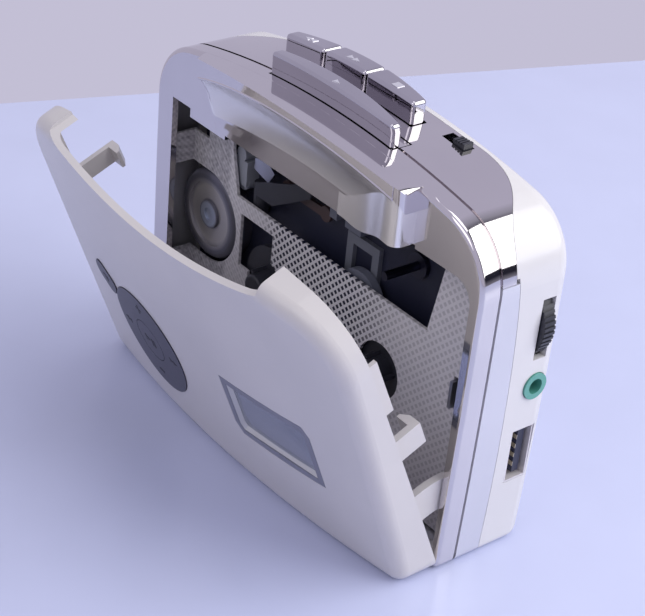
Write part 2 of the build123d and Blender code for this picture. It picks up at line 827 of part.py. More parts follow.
def bezel_face(inset):
    """Outline of the window bezel, made smaller by the inset."""
    with BuildSketch() as face:
        with BuildLine():
            Polyline([on_lid(x, z) for x, z in BEZEL], close=True)
        make_face()
        if inset:
            offset(amount=-inset, kind=Kind.INTERSECTION)
    return face.sketch


bezel_outline = bezel_face(0)
bezel_hole = bezel_face(-SEAM_GAP)
bezel_light = bezel_face(BEZEL_BORDER)
bezel_seat = bezel_face(BEZEL_BORDER - 0.4)
pane_outline = bezel_face(BEZEL_BORDER - 0.4 + PIN_FIT)


def horn_wall_part():
    """Wall down the inner side of the lid's right horn."""
    with BuildPart() as piece:
        with BuildSketch(lid_face(RIM_STANDOFF)):
            panel(CUT_OUT[2][0], CUT_OUT[2][0] + LID_WALL, HORN_FOOT - HINGE_HEIGHT, BODY_HEIGHT)
        extrude(amount=BODY_DEPTH)
        add(lid_outside, mode=Mode.INTERSECT)
    return piece.part


horn_wall = horn_wall_part()
cut_out = cut_out_part()
face_space = under_crown(0)
proud_space = under_crown(-PAD_PROUD)
button_floor = under_crown(BUTTON_DEEP)
pane_space = under_crown(RECESS_DEEP)
pane_floor = under_crown(RECESS_DEEP + PANE_THICK)
bezel_floor = under_crown(BEZEL_THICK)

with BuildPart() as lid_shell:
    add(lid_outside)
    add(lid_inside, mode=Mode.SUBTRACT)
    add(horn_wall)
    add(cut_out, mode=Mode.SUBTRACT)
    with BuildSketch(lid_face(RIM_STANDOFF + BOARD_LEVEL)):
        for x in BOARD_POSTS_X:
            for z in BOARD_POSTS_Z:
                disc(x, z - HINGE_HEIGHT, BOARD_POST)
    extrude(until=Until.NEXT)
    with BuildSketch(lid_face(RIM_STANDOFF + BOARD_LEVEL)):
        add(bezel_hole)
        add(lens_hole)
        disc(PAD_X, PAD_Z - HINGE_HEIGHT, PAD_RADIUS + BUTTON_FIT)
    extrude(amount=BODY_DEPTH, mode=Mode.SUBTRACT)
    add(right_hook)
    add(left_hook)
    add(strap)
    tab_low, tab_high = [z - HINGE_HEIGHT for z in TAB_HEIGHTS]
    with BuildSketch(lid_side(TAB_SIDES[0])):
        panel(-TAB_REACH, 2 * RIM_STANDOFF, tab_low, tab_high)
    extrude(amount=TAB_SIDES[0] - TAB_SIDES[1])
    with BuildSketch(lid_side(TAB_SIDES[0])):
        panel(RIM_STANDOFF + 0.4, 2 * RIM_STANDOFF, tab_low, tab_high)
    extrude(amount=TAB_SIDES[0] - FOOT_HALF_WIDTH)
    for side in (-1, 1):
        with BuildSketch(lid_side(side * LUG_INNER)):
            Circle(LUG_RADIUS)
            panel(0, 4, -0.9, 1.5)
        extrude(amount=-side * (LUG_OUTER - LUG_INNER))
        with BuildSketch(lid_side(side * (LUG_INNER + CLEARANCE))):
            Circle(PIN_RADIUS + PIN_FIT)
        extrude(amount=-side * LUG_OUTER, mode=Mode.SUBTRACT)
finish(lid_shell, "lid_shell")

with BuildPart() as lid_hinge_pins:
    for side in (-1, 1):
        with BuildSketch(side_on(side * (LUG_INNER + CLEARANCE))):
            disc(FRONT_Y + HINGE_DEPTH, HINGE_HEIGHT, PIN_RADIUS)
        extrude(amount=side * (PIN_END - LUG_INNER - CLEARANCE))
finish(lid_hinge_pins, "lid_hinge_pins")


def pane_seat():
    """Room for the pane in the bezel, up to the pane's outer face."""
    with BuildPart() as seat:
        with BuildSketch(lid_face(RIM_STANDOFF)):
            add(bezel_seat)
        extrude(amount=BODY_DEPTH)
        add(pane_space, mode=Mode.INTERSECT)
    return seat.part


seat_room = pane_seat()

with BuildPart() as window_bezel:
    with BuildSketch(lid_face(RIM_STANDOFF)):
        add(bezel_outline)
    extrude(amount=BODY_DEPTH)
    add(face_space, mode=Mode.INTERSECT)
    add(bezel_floor, mode=Mode.SUBTRACT)
    with BuildSketch(lid_face(RIM_STANDOFF)):
        add(bezel_light)
    extrude(amount=BODY_DEPTH, mode=Mode.SUBTRACT)
    add(seat_room, mode=Mode.SUBTRACT)
finish(window_bezel, "window_bezel")

with BuildPart() as window_pane:
    with BuildSketch(lid_face(RIM_STANDOFF)):
        add(pane_outline)
    extrude(amount=BODY_DEPTH)
    add(pane_space, mode=Mode.INTERSECT)
    add(pane_floor, mode=Mode.SUBTRACT)
finish(window_pane, "window_pane")


def lid_button(face, top):
    """Button cut from its outline, with a top that follows the crown."""
    with BuildPart() as button:
        with BuildSketch(lid_face(RIM_STANDOFF)):
            add(face)
        extrude(amount=BODY_DEPTH)
        add(top, mode=Mode.INTERSECT)
        add(button_floor, mode=Mode.SUBTRACT)
    return button.part


def ring_face():
    """Outline of the five-way ring round its middle button."""
    with BuildSketch() as face:
        disc(PAD_X, PAD_Z - HINGE_HEIGHT, PAD_RADIUS)
        disc(PAD_X, PAD_Z - HINGE_HEIGHT, PAD_CENTRE_RADIUS + BUTTON_FIT, mode=Mode.SUBTRACT)
    return face.sketch


def centre_face():
    """Outline of the keypad's middle button."""
    with BuildSketch() as face:
        disc(PAD_X, PAD_Z - HINGE_HEIGHT, PAD_CENTRE_RADIUS)
    return face.sketch


def lens_button_face():
    """Outline of the lens button, bitten by the ring's opening."""
    with BuildSketch() as face:
        add(lens_outline)
        disc(PAD_X, PAD_Z - HINGE_HEIGHT, PAD_RADIUS + 2 * BUTTON_FIT, mode=Mode.SUBTRACT)
    return face.sketch


ring_outline = ring_face()
centre_outline = centre_face()
lens_button_outline = lens_button_face()

ring_body = lid_button(ring_outline, proud_space)
centre_body = lid_button(centre_outline, proud_space)
lens_body = lid_button(lens_button_outline, proud_space)

with BuildPart() as keypad_ring:
    add(ring_body)
finish(keypad_ring, "keypad_ring")

with BuildPart() as keypad_centre:
    add(centre_body)
finish(keypad_centre, "keypad_centre")

with BuildPart() as lens_button:
    add(lens_body)
finish(lens_button, "lens_button")

with BuildPart() as keypad_board:
    with BuildSketch(lid_face(RIM_STANDOFF + BOARD_LEVEL)):
        panel(
            BOARD_POSTS_X[0] - BOARD_POST,
            BOARD_POSTS_X[1] + BOARD_POST,
            BOARD_POSTS_Z[0] - BOARD_POST - HINGE_HEIGHT,
            BOARD_POSTS_Z[1] + BOARD_POST - HINGE_HEIGHT,
        )
    extrude(amount=-BOARD_SHEET)
finish(keypad_board, "keypad_board")


# Transport keys: straight stems in the slots, tops that follow the body's arch
def under_key_tops():
    """Everything under the arch of the key tops."""
    with BuildPart() as region:
        with BuildSketch(upright(0)):
            disc(0, ARCH_CENTRE, ARCH_RADIUS + KEY_RISE)
        extrude(amount=-BODY_DEPTH)
    return region.part


key_tops = under_key_tops()
stem_top = BODY_HEIGHT + KEY_TRAVEL
lean_top = BODY_HEIGHT + KEY_RISE + 1.0

with BuildPart() as play_bar:
    with BuildSketch(Plane.XY.offset(KEY_FOOT)):
        panel(BAR_LEFT, BAR_RIGHT, FRONT_Y + BAR_FRONT, FRONT_Y + BAR_BACK)
    extrude(amount=stem_top - KEY_FOOT)
    with BuildSketch(Plane.XY.offset(stem_top)):
        panel(BAR_LEFT, BAR_RIGHT, FRONT_Y + BAR_FRONT, FRONT_Y + BAR_BACK)
    with BuildSketch(Plane.XY.offset(lean_top)):
        with BuildLine():
            Line((BAR_LEFT, FRONT_Y + 3.2), (BAR_RIGHT, FRONT_Y + 2.2))
            Line((BAR_RIGHT, FRONT_Y + 2.2), (BAR_RIGHT, FRONT_Y + 5.1))
            ThreePointArc((BAR_RIGHT, FRONT_Y + 5.1), (2.0, FRONT_Y + 7.6), (BAR_LEFT, FRONT_Y + 6.0))
            Line((BAR_LEFT, FRONT_Y + 6.0), (BAR_LEFT, FRONT_Y + 3.2))
        make_face()
    loft()
    add(key_tops, mode=Mode.INTERSECT)
    fillet(play_bar.faces().sort_by(Axis.Z)[-1].edges(), KEY_ROUND)
finish(play_bar, "play_bar")


def rear_key(left, right):
    """One of the three rear keys, between two places across the bank."""
    with BuildPart() as key:
        with BuildSketch(Plane.XY.offset(KEY_FOOT)):
            add(key_bank)
            panel(left, right, FRONT_Y, -FRONT_Y, mode=Mode.INTERSECT)
        extrude(amount=lean_top - KEY_FOOT)
        add(key_tops, mode=Mode.INTERSECT)
        fillet(key.faces().sort_by(Axis.Z)[-1].edges(), KEY_ROUND)
    return key.part


rewind_body = rear_key(KEY_SPLITS[0], KEY_SPLITS[1] - KEY_GAP / 2)
forward_body = rear_key(KEY_SPLITS[1] + KEY_GAP / 2, KEY_SPLITS[2] - KEY_GAP / 2)
stop_body = rear_key(KEY_SPLITS[2] + KEY_GAP / 2, KEY_SPLITS[3])

with BuildPart() as rewind_key:
    add(rewind_body)
finish(rewind_key, "rewind_key")

with BuildPart() as forward_key:
    add(forward_body)
finish(forward_key, "forward_key")

with BuildPart() as stop_key:
    add(stop_body)
finish(stop_key, "stop_key")

with BuildPart() as hold_knob:
    with BuildSketch(Plane.XY.offset(HOLD_FLANGE)):
        panel(HOLD_LEFT - 1.4, HOLD_RIGHT + 1.4, FRONT_Y + HOLD_FRONT - 1.2, FRONT_Y + HOLD_BACK + 1.0)
    extrude(amount=0.6)
    with BuildSketch(Plane.XY.offset(HOLD_FLANGE)):
        panel(HOLD_LEFT, HOLD_RIGHT, FRONT_Y + HOLD_FRONT, FRONT_Y + HOLD_BACK)
    extrude(amount=HOLD_TOP - HOLD_FLANGE)
    with BuildSketch(upright(HOLD_FRONT)):
        for step in range(3):
            middle = HOLD_LEFT + 0.9 + 0.8 * step
            panel(middle - 0.15, middle + 0.15, HOLD_TOP - 0.4, HOLD_TOP)
    extrude(amount=HOLD_FRONT - HOLD_BACK, mode=Mode.SUBTRACT)
finish(hold_knob, "hold_knob")

with BuildPart() as hold_switch:
    with BuildSketch(Plane.XY.offset(HOLD_FLANGE - 0.2)):
        panel(HOLD_LEFT - 4.2, HOLD_RIGHT + 1.4, FRONT_Y + HOLD_FRONT - 1.2, FRONT_Y + HOLD_BACK + 1.0)
    extrude(amount=-3.4)
finish(hold_switch, "hold_switch")

# Volume wheel on its control, and the sockets at the right end
with BuildPart() as volume_wheel:
    with BuildSketch(upright(WHEEL_FRONT)):
        disc(WHEEL_X, WHEEL_Z, WHEEL_RADIUS)
        with Locations((WHEEL_X, WHEEL_Z)):
            with PolarLocations(WHEEL_RADIUS, KNURLS):
                Rectangle(0.6, 0.5, mode=Mode.SUBTRACT)
        disc(WHEEL_X, WHEEL_Z, POT_SHAFT + PIN_FIT, mode=Mode.SUBTRACT)
    extrude(amount=WHEEL_FRONT - WHEEL_BACK)
finish(volume_wheel, "volume_wheel")

with BuildPart() as volume_pot:
    with BuildSketch(upright(BOARD_DEPTH)):
        disc(WHEEL_X, WHEEL_Z, POT_RADIUS)
    extrude(amount=BOARD_DEPTH - WHEEL_BACK - 0.1)
    with BuildSketch(upright(BOARD_DEPTH)):
        disc(WHEEL_X, WHEEL_Z, POT_SHAFT)
    extrude(amount=BOARD_DEPTH - WHEEL_FRONT + 0.3)
finish(volume_pot, "volume_pot")

with BuildPart() as headphone_socket:
    with BuildSketch(upright(BOARD_DEPTH)):
        panel(JACK_MOUTH - 1 - JACK_LENGTH, SHOULDER_HALF_WIDTH - WALL - 0.2, JACK_HEIGHT - 3.2, JACK_HEIGHT + 3.2)
    extrude(amount=6.0)
    with BuildSketch(side_on(SHOULDER_HALF_WIDTH - WALL - 0.4)):
        disc(FRONT_Y + JACK_DEPTH, JACK_HEIGHT, JACK_COLLAR)
    extrude(amount=JACK_MOUTH - SHOULDER_HALF_WIDTH + WALL + 0.4)
    with BuildSketch(side_on(JACK_MOUTH)):
        disc(FRONT_Y + JACK_DEPTH, JACK_HEIGHT, JACK_BORE)
    extrude(amount=-JACK_LENGTH, mode=Mode.SUBTRACT)
finish(headphone_socket, "headphone_socket")

with BuildPart() as usb_shell:
    with BuildSketch(side_on(USB_MOUTH)):
        with Locations((FRONT_Y + USB_DEPTH, USB_HEIGHT)):
            Rectangle(USB_THICK, USB_ACROSS)
    extrude(amount=-USB_LENGTH)
    with BuildSketch(side_on(USB_MOUTH)):
        with Locations((FRONT_Y + USB_DEPTH, USB_HEIGHT)):
            Rectangle(USB_THICK - 2 * USB_SHEET, USB_ACROSS - 2 * USB_SHEET)
    extrude(amount=2 - USB_LENGTH, mode=Mode.SUBTRACT)
finish(usb_shell, "usb_shell")

with BuildPart() as usb_tongue:
    with BuildSketch(side_on(USB_MOUTH - USB_LENGTH + 2)):
        with Locations((FRONT_Y + USB_DEPTH + 0.9, USB_HEIGHT)):
            Rectangle(TONGUE_THICK, TONGUE_ACROSS)
    extrude(amount=USB_LENGTH - 3)
finish(usb_tongue, "usb_tongue")

with BuildPart() as circuit_board:
    with BuildSketch(upright(BOARD_DEPTH)):
        panel(BOARD_SIDES[0], BOARD_SIDES[1], BOARD_HEIGHTS[0], BOARD_HEIGHTS[1])
    extrude(amount=-BOARD_SHEET)
finish(circuit_board, "circuit_board")


# Deck plate with the openings round the cassette's reels, the head and the hooks
with BuildPart() as deck_plate:
    with BuildSketch(upright(DECK_DEPTH)):
        add(deck_line)
        panel(DECK_LEFT, FAR, DECK_FOOT, DECK_TOP, mode=Mode.INTERSECT)
        with BuildLine():
            Polyline(
                (39.5, BODY_HEIGHT),
                (39.5, 64.8),
                (36.5, HEAD_SILL),
                (-32.1, HEAD_SILL),
                (-34.9, 59.2),
                (-34.9, BODY_HEIGHT),
                close=True,
            )
        make_face(mode=Mode.SUBTRACT)
        disc(LEFT_SPINDLE, SPINDLE_HEIGHT, REEL_HOLE, mode=Mode.SUBTRACT)
        disc(RIGHT_SPINDLE, SPINDLE_HEIGHT, REEL_HOLE, mode=Mode.SUBTRACT)
        panel(-30.0, -17.5, SPINDLE_HEIGHT, 44.5, mode=Mode.SUBTRACT)
        disc(MOTOR_X, MOTOR_Z, MOTOR_RADIUS + 0.5, mode=Mode.SUBTRACT)
        panel(-FAR, MOTOR_X, MOTOR_Z - 12.0, MOTOR_Z + 12.0, mode=Mode.SUBTRACT)
        panel(-FAR, -44.6, 57.8, 64.0, mode=Mode.SUBTRACT)
        panel(46.4, FAR, 34.9, 42.6, mode=Mode.SUBTRACT)
        panel(51.9, FAR, -FAR, 25.5, mode=Mode.SUBTRACT)
    extrude(amount=-DECK_SHEET)
    with BuildSketch(upright(DECK_DEPTH)):
        panel(DECK_LEFT, DECK_LEFT + DECK_SHEET, 6.0, MOTOR_Z - 12.0)
        panel(DECK_LEFT, DECK_LEFT + DECK_SHEET, MOTOR_Z + 12.0, 57.8)
    extrude(amount=DECK_DEPTH - HINGE_DEPTH)
finish(deck_plate, "deck_plate")

# Chassis behind the deck, with the spacers that hold the deck off it
with BuildPart() as chassis:
    with BuildSketch(upright(CHASSIS_DEPTH)):
        panel(-53.0, 46.0, 19.2, 70.0)
        panel(-53.0, 50.5, 66.0, 77.0)
        add(deck_line, mode=Mode.INTERSECT)
        disc(MOTOR_X, MOTOR_Z, MOTOR_RADIUS + PIN_FIT, mode=Mode.SUBTRACT)
        disc(CAPSTAN_X, CAPSTAN_Z, BUSH_RADIUS, mode=Mode.SUBTRACT)
        for x, z in SCREW_PLACES:
            disc(x, z, SCREW_SHANK + PIN_FIT, mode=Mode.SUBTRACT)
    extrude(amount=-CHASSIS_SHEET)
    with BuildSketch(upright(DECK_BACK)):
        for x, z in SPACER_PLACES:
            disc(x, z, SPACER_RADIUS)
    extrude(amount=DECK_BACK - CHASSIS_DEPTH)
finish(chassis, "chassis")

with BuildPart() as reel_posts:
    with BuildSketch(upright(CHASSIS_DEPTH)):
        disc(LEFT_SPINDLE, SPINDLE_HEIGHT, SHAFT_RADIUS)
        disc(RIGHT_SPINDLE, SPINDLE_HEIGHT, SHAFT_RADIUS)
    extrude(amount=CHASSIS_DEPTH - HUB_FRONT - 1.0)
    with BuildSketch(upright(CHASSIS_DEPTH)):
        disc(IDLER_X, IDLER_Z, SHAFT_RADIUS)
    extrude(amount=CHASSIS_DEPTH - GEAR_FRONT + 0.4)
    with BuildSketch(upright(CHASSIS_DEPTH)):
        for x, z in ((LEFT_SPINDLE, SPINDLE_HEIGHT), (RIGHT_SPINDLE, SPINDLE_HEIGHT), (IDLER_X, IDLER_Z)):
            disc(x, z, 2 * SHAFT_RADIUS)
    extrude(amount=CHASSIS_DEPTH - GEAR_BACK - 0.2)
finish(reel_posts, "reel_posts")


def reel_body(x):
    """Drive hub with three fins for the cassette, on its gear disc."""
    with BuildPart() as reel:
        with BuildSketch(upright(GEAR_FRONT)):
            disc(x, SPINDLE_HEIGHT, REEL_RADIUS)
        extrude(amount=GEAR_FRONT - GEAR_BACK)
        with BuildSketch(upright(GEAR_FRONT)):
            disc(x, SPINDLE_HEIGHT, HUB_RADIUS)
        extrude(amount=GEAR_FRONT - HUB_FRONT)
        fillet(reel.faces().sort_by(Axis.Y)[0].edges(), 0.8)
        with BuildSketch(upright(GEAR_FRONT)):
            with Locations((x, SPINDLE_HEIGHT)):
                with PolarLocations(HUB_RADIUS, 3):
                    Rectangle(2 * (HUB_FIN - HUB_RADIUS), 0.9)
        extrude(amount=GEAR_FRONT - HUB_FRONT - 1.2)
        with BuildSketch(upright(GEAR_BACK)):
            disc(x, SPINDLE_HEIGHT, SHAFT_RADIUS + SHAFT_FIT)
        extrude(amount=GEAR_BACK - HUB_FRONT - 0.9, mode=Mode.SUBTRACT)
    return reel.part


left_body = reel_body(LEFT_SPINDLE)
right_body = reel_body(RIGHT_SPINDLE)

with BuildPart() as left_reel:
    add(left_body)
finish(left_reel, "left_reel")

with BuildPart() as right_reel:
    add(right_body)
finish(right_reel, "right_reel")

with BuildPart() as idler_wheel:
    with BuildSketch(upright(GEAR_FRONT)):
        disc(IDLER_X, IDLER_Z, IDLER_RADIUS)
        disc(IDLER_X, IDLER_Z, SHAFT_RADIUS + SHAFT_FIT, mode=Mode.SUBTRACT)
        with Locations((IDLER_X, IDLER_Z)):
            with PolarLocations(IDLER_RADIUS / 2 + 0.6, 5):
                Circle(1.3, mode=Mode.SUBTRACT)
    extrude(amount=GEAR_FRONT - GEAR_BACK)
finish(idler_wheel, "idler_wheel")

# Motor, belt and flywheel behind the chassis
with BuildPart() as motor:
    with BuildSketch(upright(MOTOR_FRONT)):
        disc(MOTOR_X, MOTOR_Z, MOTOR_RADIUS)
    extrude(amount=MOTOR_FRONT - MOTOR_BACK)
    fillet(motor.faces().sort_by(Axis.Y)[0].edges(), 1.6)
    with BuildSketch(upright(MOTOR_FRONT)):
        disc(MOTOR_X, MOTOR_Z, 8.2)
        disc(MOTOR_X, MOTOR_Z, 3.5, mode=Mode.SUBTRACT)
    extrude(amount=-0.7, mode=Mode.SUBTRACT)
    with BuildSketch(upright(MOTOR_FRONT)):
        disc(MOTOR_X, MOTOR_Z, 1.6)
    extrude(amount=-0.5, mode=Mode.SUBTRACT)
    with BuildSketch(upright(MOTOR_BACK)):
        disc(MOTOR_X, MOTOR_Z, MOTOR_SHAFT + PIN_FIT)
    extrude(amount=2.0, mode=Mode.SUBTRACT)
finish(motor, "motor")

with BuildPart() as motor_pulley:
    with BuildSketch(upright(PULLEY_FRONT)):
        disc(MOTOR_X, MOTOR_Z, PULLEY_RADIUS + 0.6)
    extrude(amount=PULLEY_FRONT - FLYWHEEL_BACK)
    with BuildSketch(upright(BELT_FRONT - 0.1)):
        disc(MOTOR_X, MOTOR_Z, 2 * PULLEY_RADIUS)
        disc(MOTOR_X, MOTOR_Z, PULLEY_RADIUS, mode=Mode.SUBTRACT)
    extrude(amount=-BELT_WIDTH - 0.2, mode=Mode.SUBTRACT)
    with BuildSketch(upright(PULLEY_FRONT)):
        disc(MOTOR_X, MOTOR_Z, MOTOR_SHAFT)
    extrude(amount=PULLEY_FRONT - MOTOR_BACK + 1.6)
finish(motor_pulley, "motor_pulley")

with BuildPart() as flywheel:
    with BuildSketch(upright(FLYWHEEL_FRONT)):
        disc(CAPSTAN_X, CAPSTAN_Z, FLYWHEEL_RADIUS)
    extrude(amount=FLYWHEEL_FRONT - FLYWHEEL_BACK)
    with BuildSketch(upright(BELT_FRONT - 0.1)):
        disc(CAPSTAN_X, CAPSTAN_Z, 2 * FLYWHEEL_RADIUS)
        disc(CAPSTAN_X, CAPSTAN_Z, BELT_SEAT, mode=Mode.SUBTRACT)
    extrude(amount=-BELT_WIDTH - 0.2, mode=Mode.SUBTRACT)
    with BuildSketch(upright(FLYWHEEL_FRONT)):
        disc(CAPSTAN_X, CAPSTAN_Z, SHAFT_RADIUS)
    extrude(amount=FLYWHEEL_FRONT - CAPSTAN_FRONT)
finish(flywheel, "flywheel")

with BuildPart() as capstan_bush:
    with BuildSketch(upright(CHASSIS_DEPTH - 1.2)):
        disc(CAPSTAN_X, CAPSTAN_Z, BUSH_RADIUS)
        disc(CAPSTAN_X, CAPSTAN_Z, SHAFT_RADIUS + PIN_FIT, mode=Mode.SUBTRACT)
    extrude(amount=-6.0)
finish(capstan_bush, "capstan_bush")


def belt_face(grow):
    """Outline that wraps the pulley and the flywheel seat at this distance."""
    with BuildSketch() as face:
        with BuildLine():
            CenterArc((MOTOR_X, MOTOR_Z), PULLEY_RADIUS + grow, 0, 360)
            CenterArc((CAPSTAN_X, CAPSTAN_Z), BELT_SEAT + grow, 0, 360)
        make_hull()
    return face.sketch


belt_outer = belt_face(BELT_FIT + BELT_THICK)
belt_inner = belt_face(BELT_FIT)

with BuildPart() as drive_belt:
    with BuildSketch(upright(BELT_FRONT)):
        add(belt_outer)
        add(belt_inner, mode=Mode.SUBTRACT)
    extrude(amount=-BELT_WIDTH)
finish(drive_belt, "drive_belt")

# Head plate that comes down to the tape, and the head on it
with BuildPart() as head_plate:
    with BuildSketch(upright(HEAD_PLATE_DEPTH)):
        panel(-30.0, 20.0, 62.0, 76.0)
        panel(-18.0, -12.0, 66.0, 72.0, mode=Mode.SUBTRACT)
    extrude(amount=-DECK_SHEET)
finish(head_plate, "head_plate")

with BuildPart() as tape_head:
    with BuildSketch(upright(HEAD_PLATE_DEPTH)):
        panel(HEAD_X - HEAD_WIDTH / 2, HEAD_X + HEAD_WIDTH / 2, HEAD_LOW, HEAD_LOW + HEAD_TALL)
    extrude(amount=HEAD_PLATE_DEPTH - HEAD_FRONT)
    low_edges = tape_head.faces().sort_by(Axis.Z)[0].edges().filter_by(Axis.Y)
    fillet(low_edges, 2.4)
finish(tape_head, "tape_head")

with BuildPart() as pinch_post:
    with BuildSketch(upright(CHASSIS_DEPTH)):
        disc(PINCH_PIVOT_X, PINCH_PIVOT_Z, POST_RADIUS)
    extrude(amount=CHASSIS_DEPTH - ARM_FRONT + 0.4)
    with BuildSketch(upright(CHASSIS_DEPTH)):
        disc(PINCH_PIVOT_X, PINCH_PIVOT_Z, 2 * POST_RADIUS)
    extrude(amount=CHASSIS_DEPTH - ARM_BACK - 0.2)
finish(pinch_post, "pinch_post")

arm_turn = math.degrees(math.atan2(PINCH_Z - PINCH_PIVOT_Z, PINCH_X - PINCH_PIVOT_X))
arm_length = math.hypot(PINCH_Z - PINCH_PIVOT_Z, PINCH_X - PINCH_PIVOT_X)

with BuildPart() as pinch_arm:
    with BuildSketch(upright(ARM_FRONT)):
        with Locations(Location((PINCH_PIVOT_X, PINCH_PIVOT_Z, 0), (0, 0, arm_turn))):
            with Locations((arm_length / 2, 0)):
                SlotCenterToCenter(arm_length, 5.2)
        disc(PINCH_PIVOT_X, PINCH_PIVOT_Z, POST_RADIUS + PIN_FIT, mode=Mode.SUBTRACT)
    extrude(amount=ARM_FRONT - ARM_BACK)
    with BuildSketch(upright(ARM_FRONT)):
        disc(PINCH_X, PINCH_Z, SHAFT_RADIUS)
    extrude(amount=ARM_FRONT - PINCH_FRONT + 0.4)
finish(pinch_arm, "pinch_arm")

with BuildPart() as pinch_roller:
    with BuildSketch(upright(PINCH_FRONT)):
        disc(PINCH_X, PINCH_Z, PINCH_RADIUS)
        disc(PINCH_X, PINCH_Z, SHAFT_RADIUS + SHAFT_FIT, mode=Mode.SUBTRACT)
    extrude(amount=PINCH_FRONT - PINCH_BACK)
finish(pinch_roller, "pinch_roller")

# Small levers and posts seen in the head opening
with BuildPart() as fork_bracket:
    with BuildSketch(upright(11.0)):
        panel(4.0, 15.0, 45.5, 55.6)
        panel(6.2, 12.8, 45.5, 53.2, mode=Mode.SUBTRACT)
    extrude(amount=11.0 - CHASSIS_DEPTH)
finish(fork_bracket, "fork_bracket")

with BuildPart() as tape_guide:
    with BuildSketch(upright(8.5)):
        panel(-36.0, -31.0, 50.6, 57.0)
        disc(-33.5, 58.4, 1.8)
    extrude(amount=8.5 - CHASSIS_DEPTH)
    with BuildSketch(upright(9.4)):
        disc(-33.5, 51.5, 2.6)
    extrude(amount=9.4 - CHASSIS_DEPTH)
finish(tape_guide, "tape_guide")

with BuildPart() as spring_lever:
    with BuildSketch(upright(9.6)):
        with BuildLine():
            Polyline((-30.0, 56.0), (-24.0, 54.6), (-22.0, 57.8), (-24.6, 59.6), (-29.6, 58.8), close=True)
        make_face()
    extrude(amount=-0.8)
    with BuildSketch(upright(9.6)):
        disc(-26.5, 57.2, 1.1)
    extrude(amount=9.6 - CHASSIS_DEPTH)
finish(spring_lever, "spring_lever")

with BuildPart() as capacitor:
    with BuildSketch(Plane.XY.offset(45.6)):
        with Locations((-26.8, FRONT_Y + CHASSIS_DEPTH - 2.0)):
            Circle(2.0)
    extrude(amount=8.0)
finish(capacitor, "capacitor")

with BuildPart() as record_link:
    with BuildSketch(upright(10.0)):
        panel(-17.4, -3.2, 55.2, 57.4)
        disc(-17.4, 56.3, 1.9)
        disc(-3.2, 56.3, 1.9)
    extrude(amount=-0.8)
    with BuildSketch(upright(10.0)):
        disc(-17.4, 56.3, 0.9)
        disc(-3.2, 56.3, 0.9)
    extrude(amount=10.0 - CHASSIS_DEPTH)
finish(record_link, "record_link")

with BuildPart() as brake_plate:
    with BuildSketch(upright(DECK_DEPTH + 0.2)):
        with BuildLine():
            Polyline(
                (-26.0, 51.6), (-19.0, 51.6), (-5.6, 59.6), (-5.6, 61.8), (-8.6, 61.8), (-26.0, 54.6), close=True
            )
        make_face()
    extrude(amount=-0.6)
    with BuildSketch(upright(DECK_DEPTH + 0.2)):
        disc(-21.0, 53.2, 1.0)
    extrude(amount=DECK_DEPTH + 0.2 - CHASSIS_DEPTH)
finish(brake_plate, "brake_plate")

with BuildPart() as head_guide:
    with BuildSketch(upright(9.4)):
        with BuildLine():
            Polyline(
                (-1.0, 57.0), (1.5, 57.0), (1.5, 59.5), (4.5, 59.5), (4.5, 57.0), (10.0, 57.0), (10.0, 61.6),
                (-1.0, 61.6), close=True,
            )
        make_face()
    extrude(amount=9.4 - CHASSIS_DEPTH)
finish(head_guide, "head_guide")

# Latch plate and the bent wire that pushes the lid open
with BuildPart() as lid_latch:
    with BuildSketch(side_on(46.8)):
        panel(FRONT_Y + 5.6, FRONT_Y + CHASSIS_DEPTH, 35.4, 42.0)
    extrude(amount=0.8)
    with BuildSketch(upright(CHASSIS_DEPTH - 0.8)):
        panel(43.4, 47.6, 35.4, 42.0)
    extrude(amount=-0.8)
finish(lid_latch, "lid_latch")

with BuildPart() as latch_spring:
    with BuildLine(side_on(51.2)) as wire_path:
        turns = [(FRONT_Y + depth, z) for depth, z in WIRE_TURNS]
        FilletPolyline(*turns, radius=2 * WIRE_RADIUS)
    with BuildSketch(Plane(origin=wire_path.line @ 0, z_dir=wire_path.line % 0)):
        Circle(WIRE_RADIUS)
    sweep(path=wire_path.line)
finish(latch_spring, "latch_spring")

# Battery bay
with BuildPart() as battery_tray:
    with BuildSketch(upright(TRAY_FRONT)):
        panel(TRAY_LEFT, TRAY_RIGHT, 1.8, TRAY_TOP)
    extrude(amount=TRAY_FRONT - BODY_DEPTH + WALL + 0.2)
    with BuildSketch(upright(TRAY_FRONT + 1.0)):
        panel(TRAY_LEFT + TRAY_WALL, TRAY_RIGHT - TRAY_WALL, 2.6, 17.2)
    extrude(amount=-BODY_DEPTH, mode=Mode.SUBTRACT)
    add(bay_inside, mode=Mode.INTERSECT)
finish(battery_tray, "battery_tray")

with BuildPart() as battery_cells:
    for start in (TRAY_LEFT + TRAY_WALL + 2.2, TRAY_LEFT + TRAY_WALL + 2.4 + CELL_LENGTH + CELL_NUB):
        with BuildSketch(side_on(start)):
            disc(FRONT_Y + CELL_DEPTH, CELL_HEIGHT, CELL_RADIUS)
        extrude(amount=CELL_LENGTH)
        with BuildSketch(side_on(start + CELL_LENGTH)):
            disc(FRONT_Y + CELL_DEPTH, CELL_HEIGHT, 2.7)
        extrude(amount=CELL_NUB)
finish(battery_cells, "battery_cells")

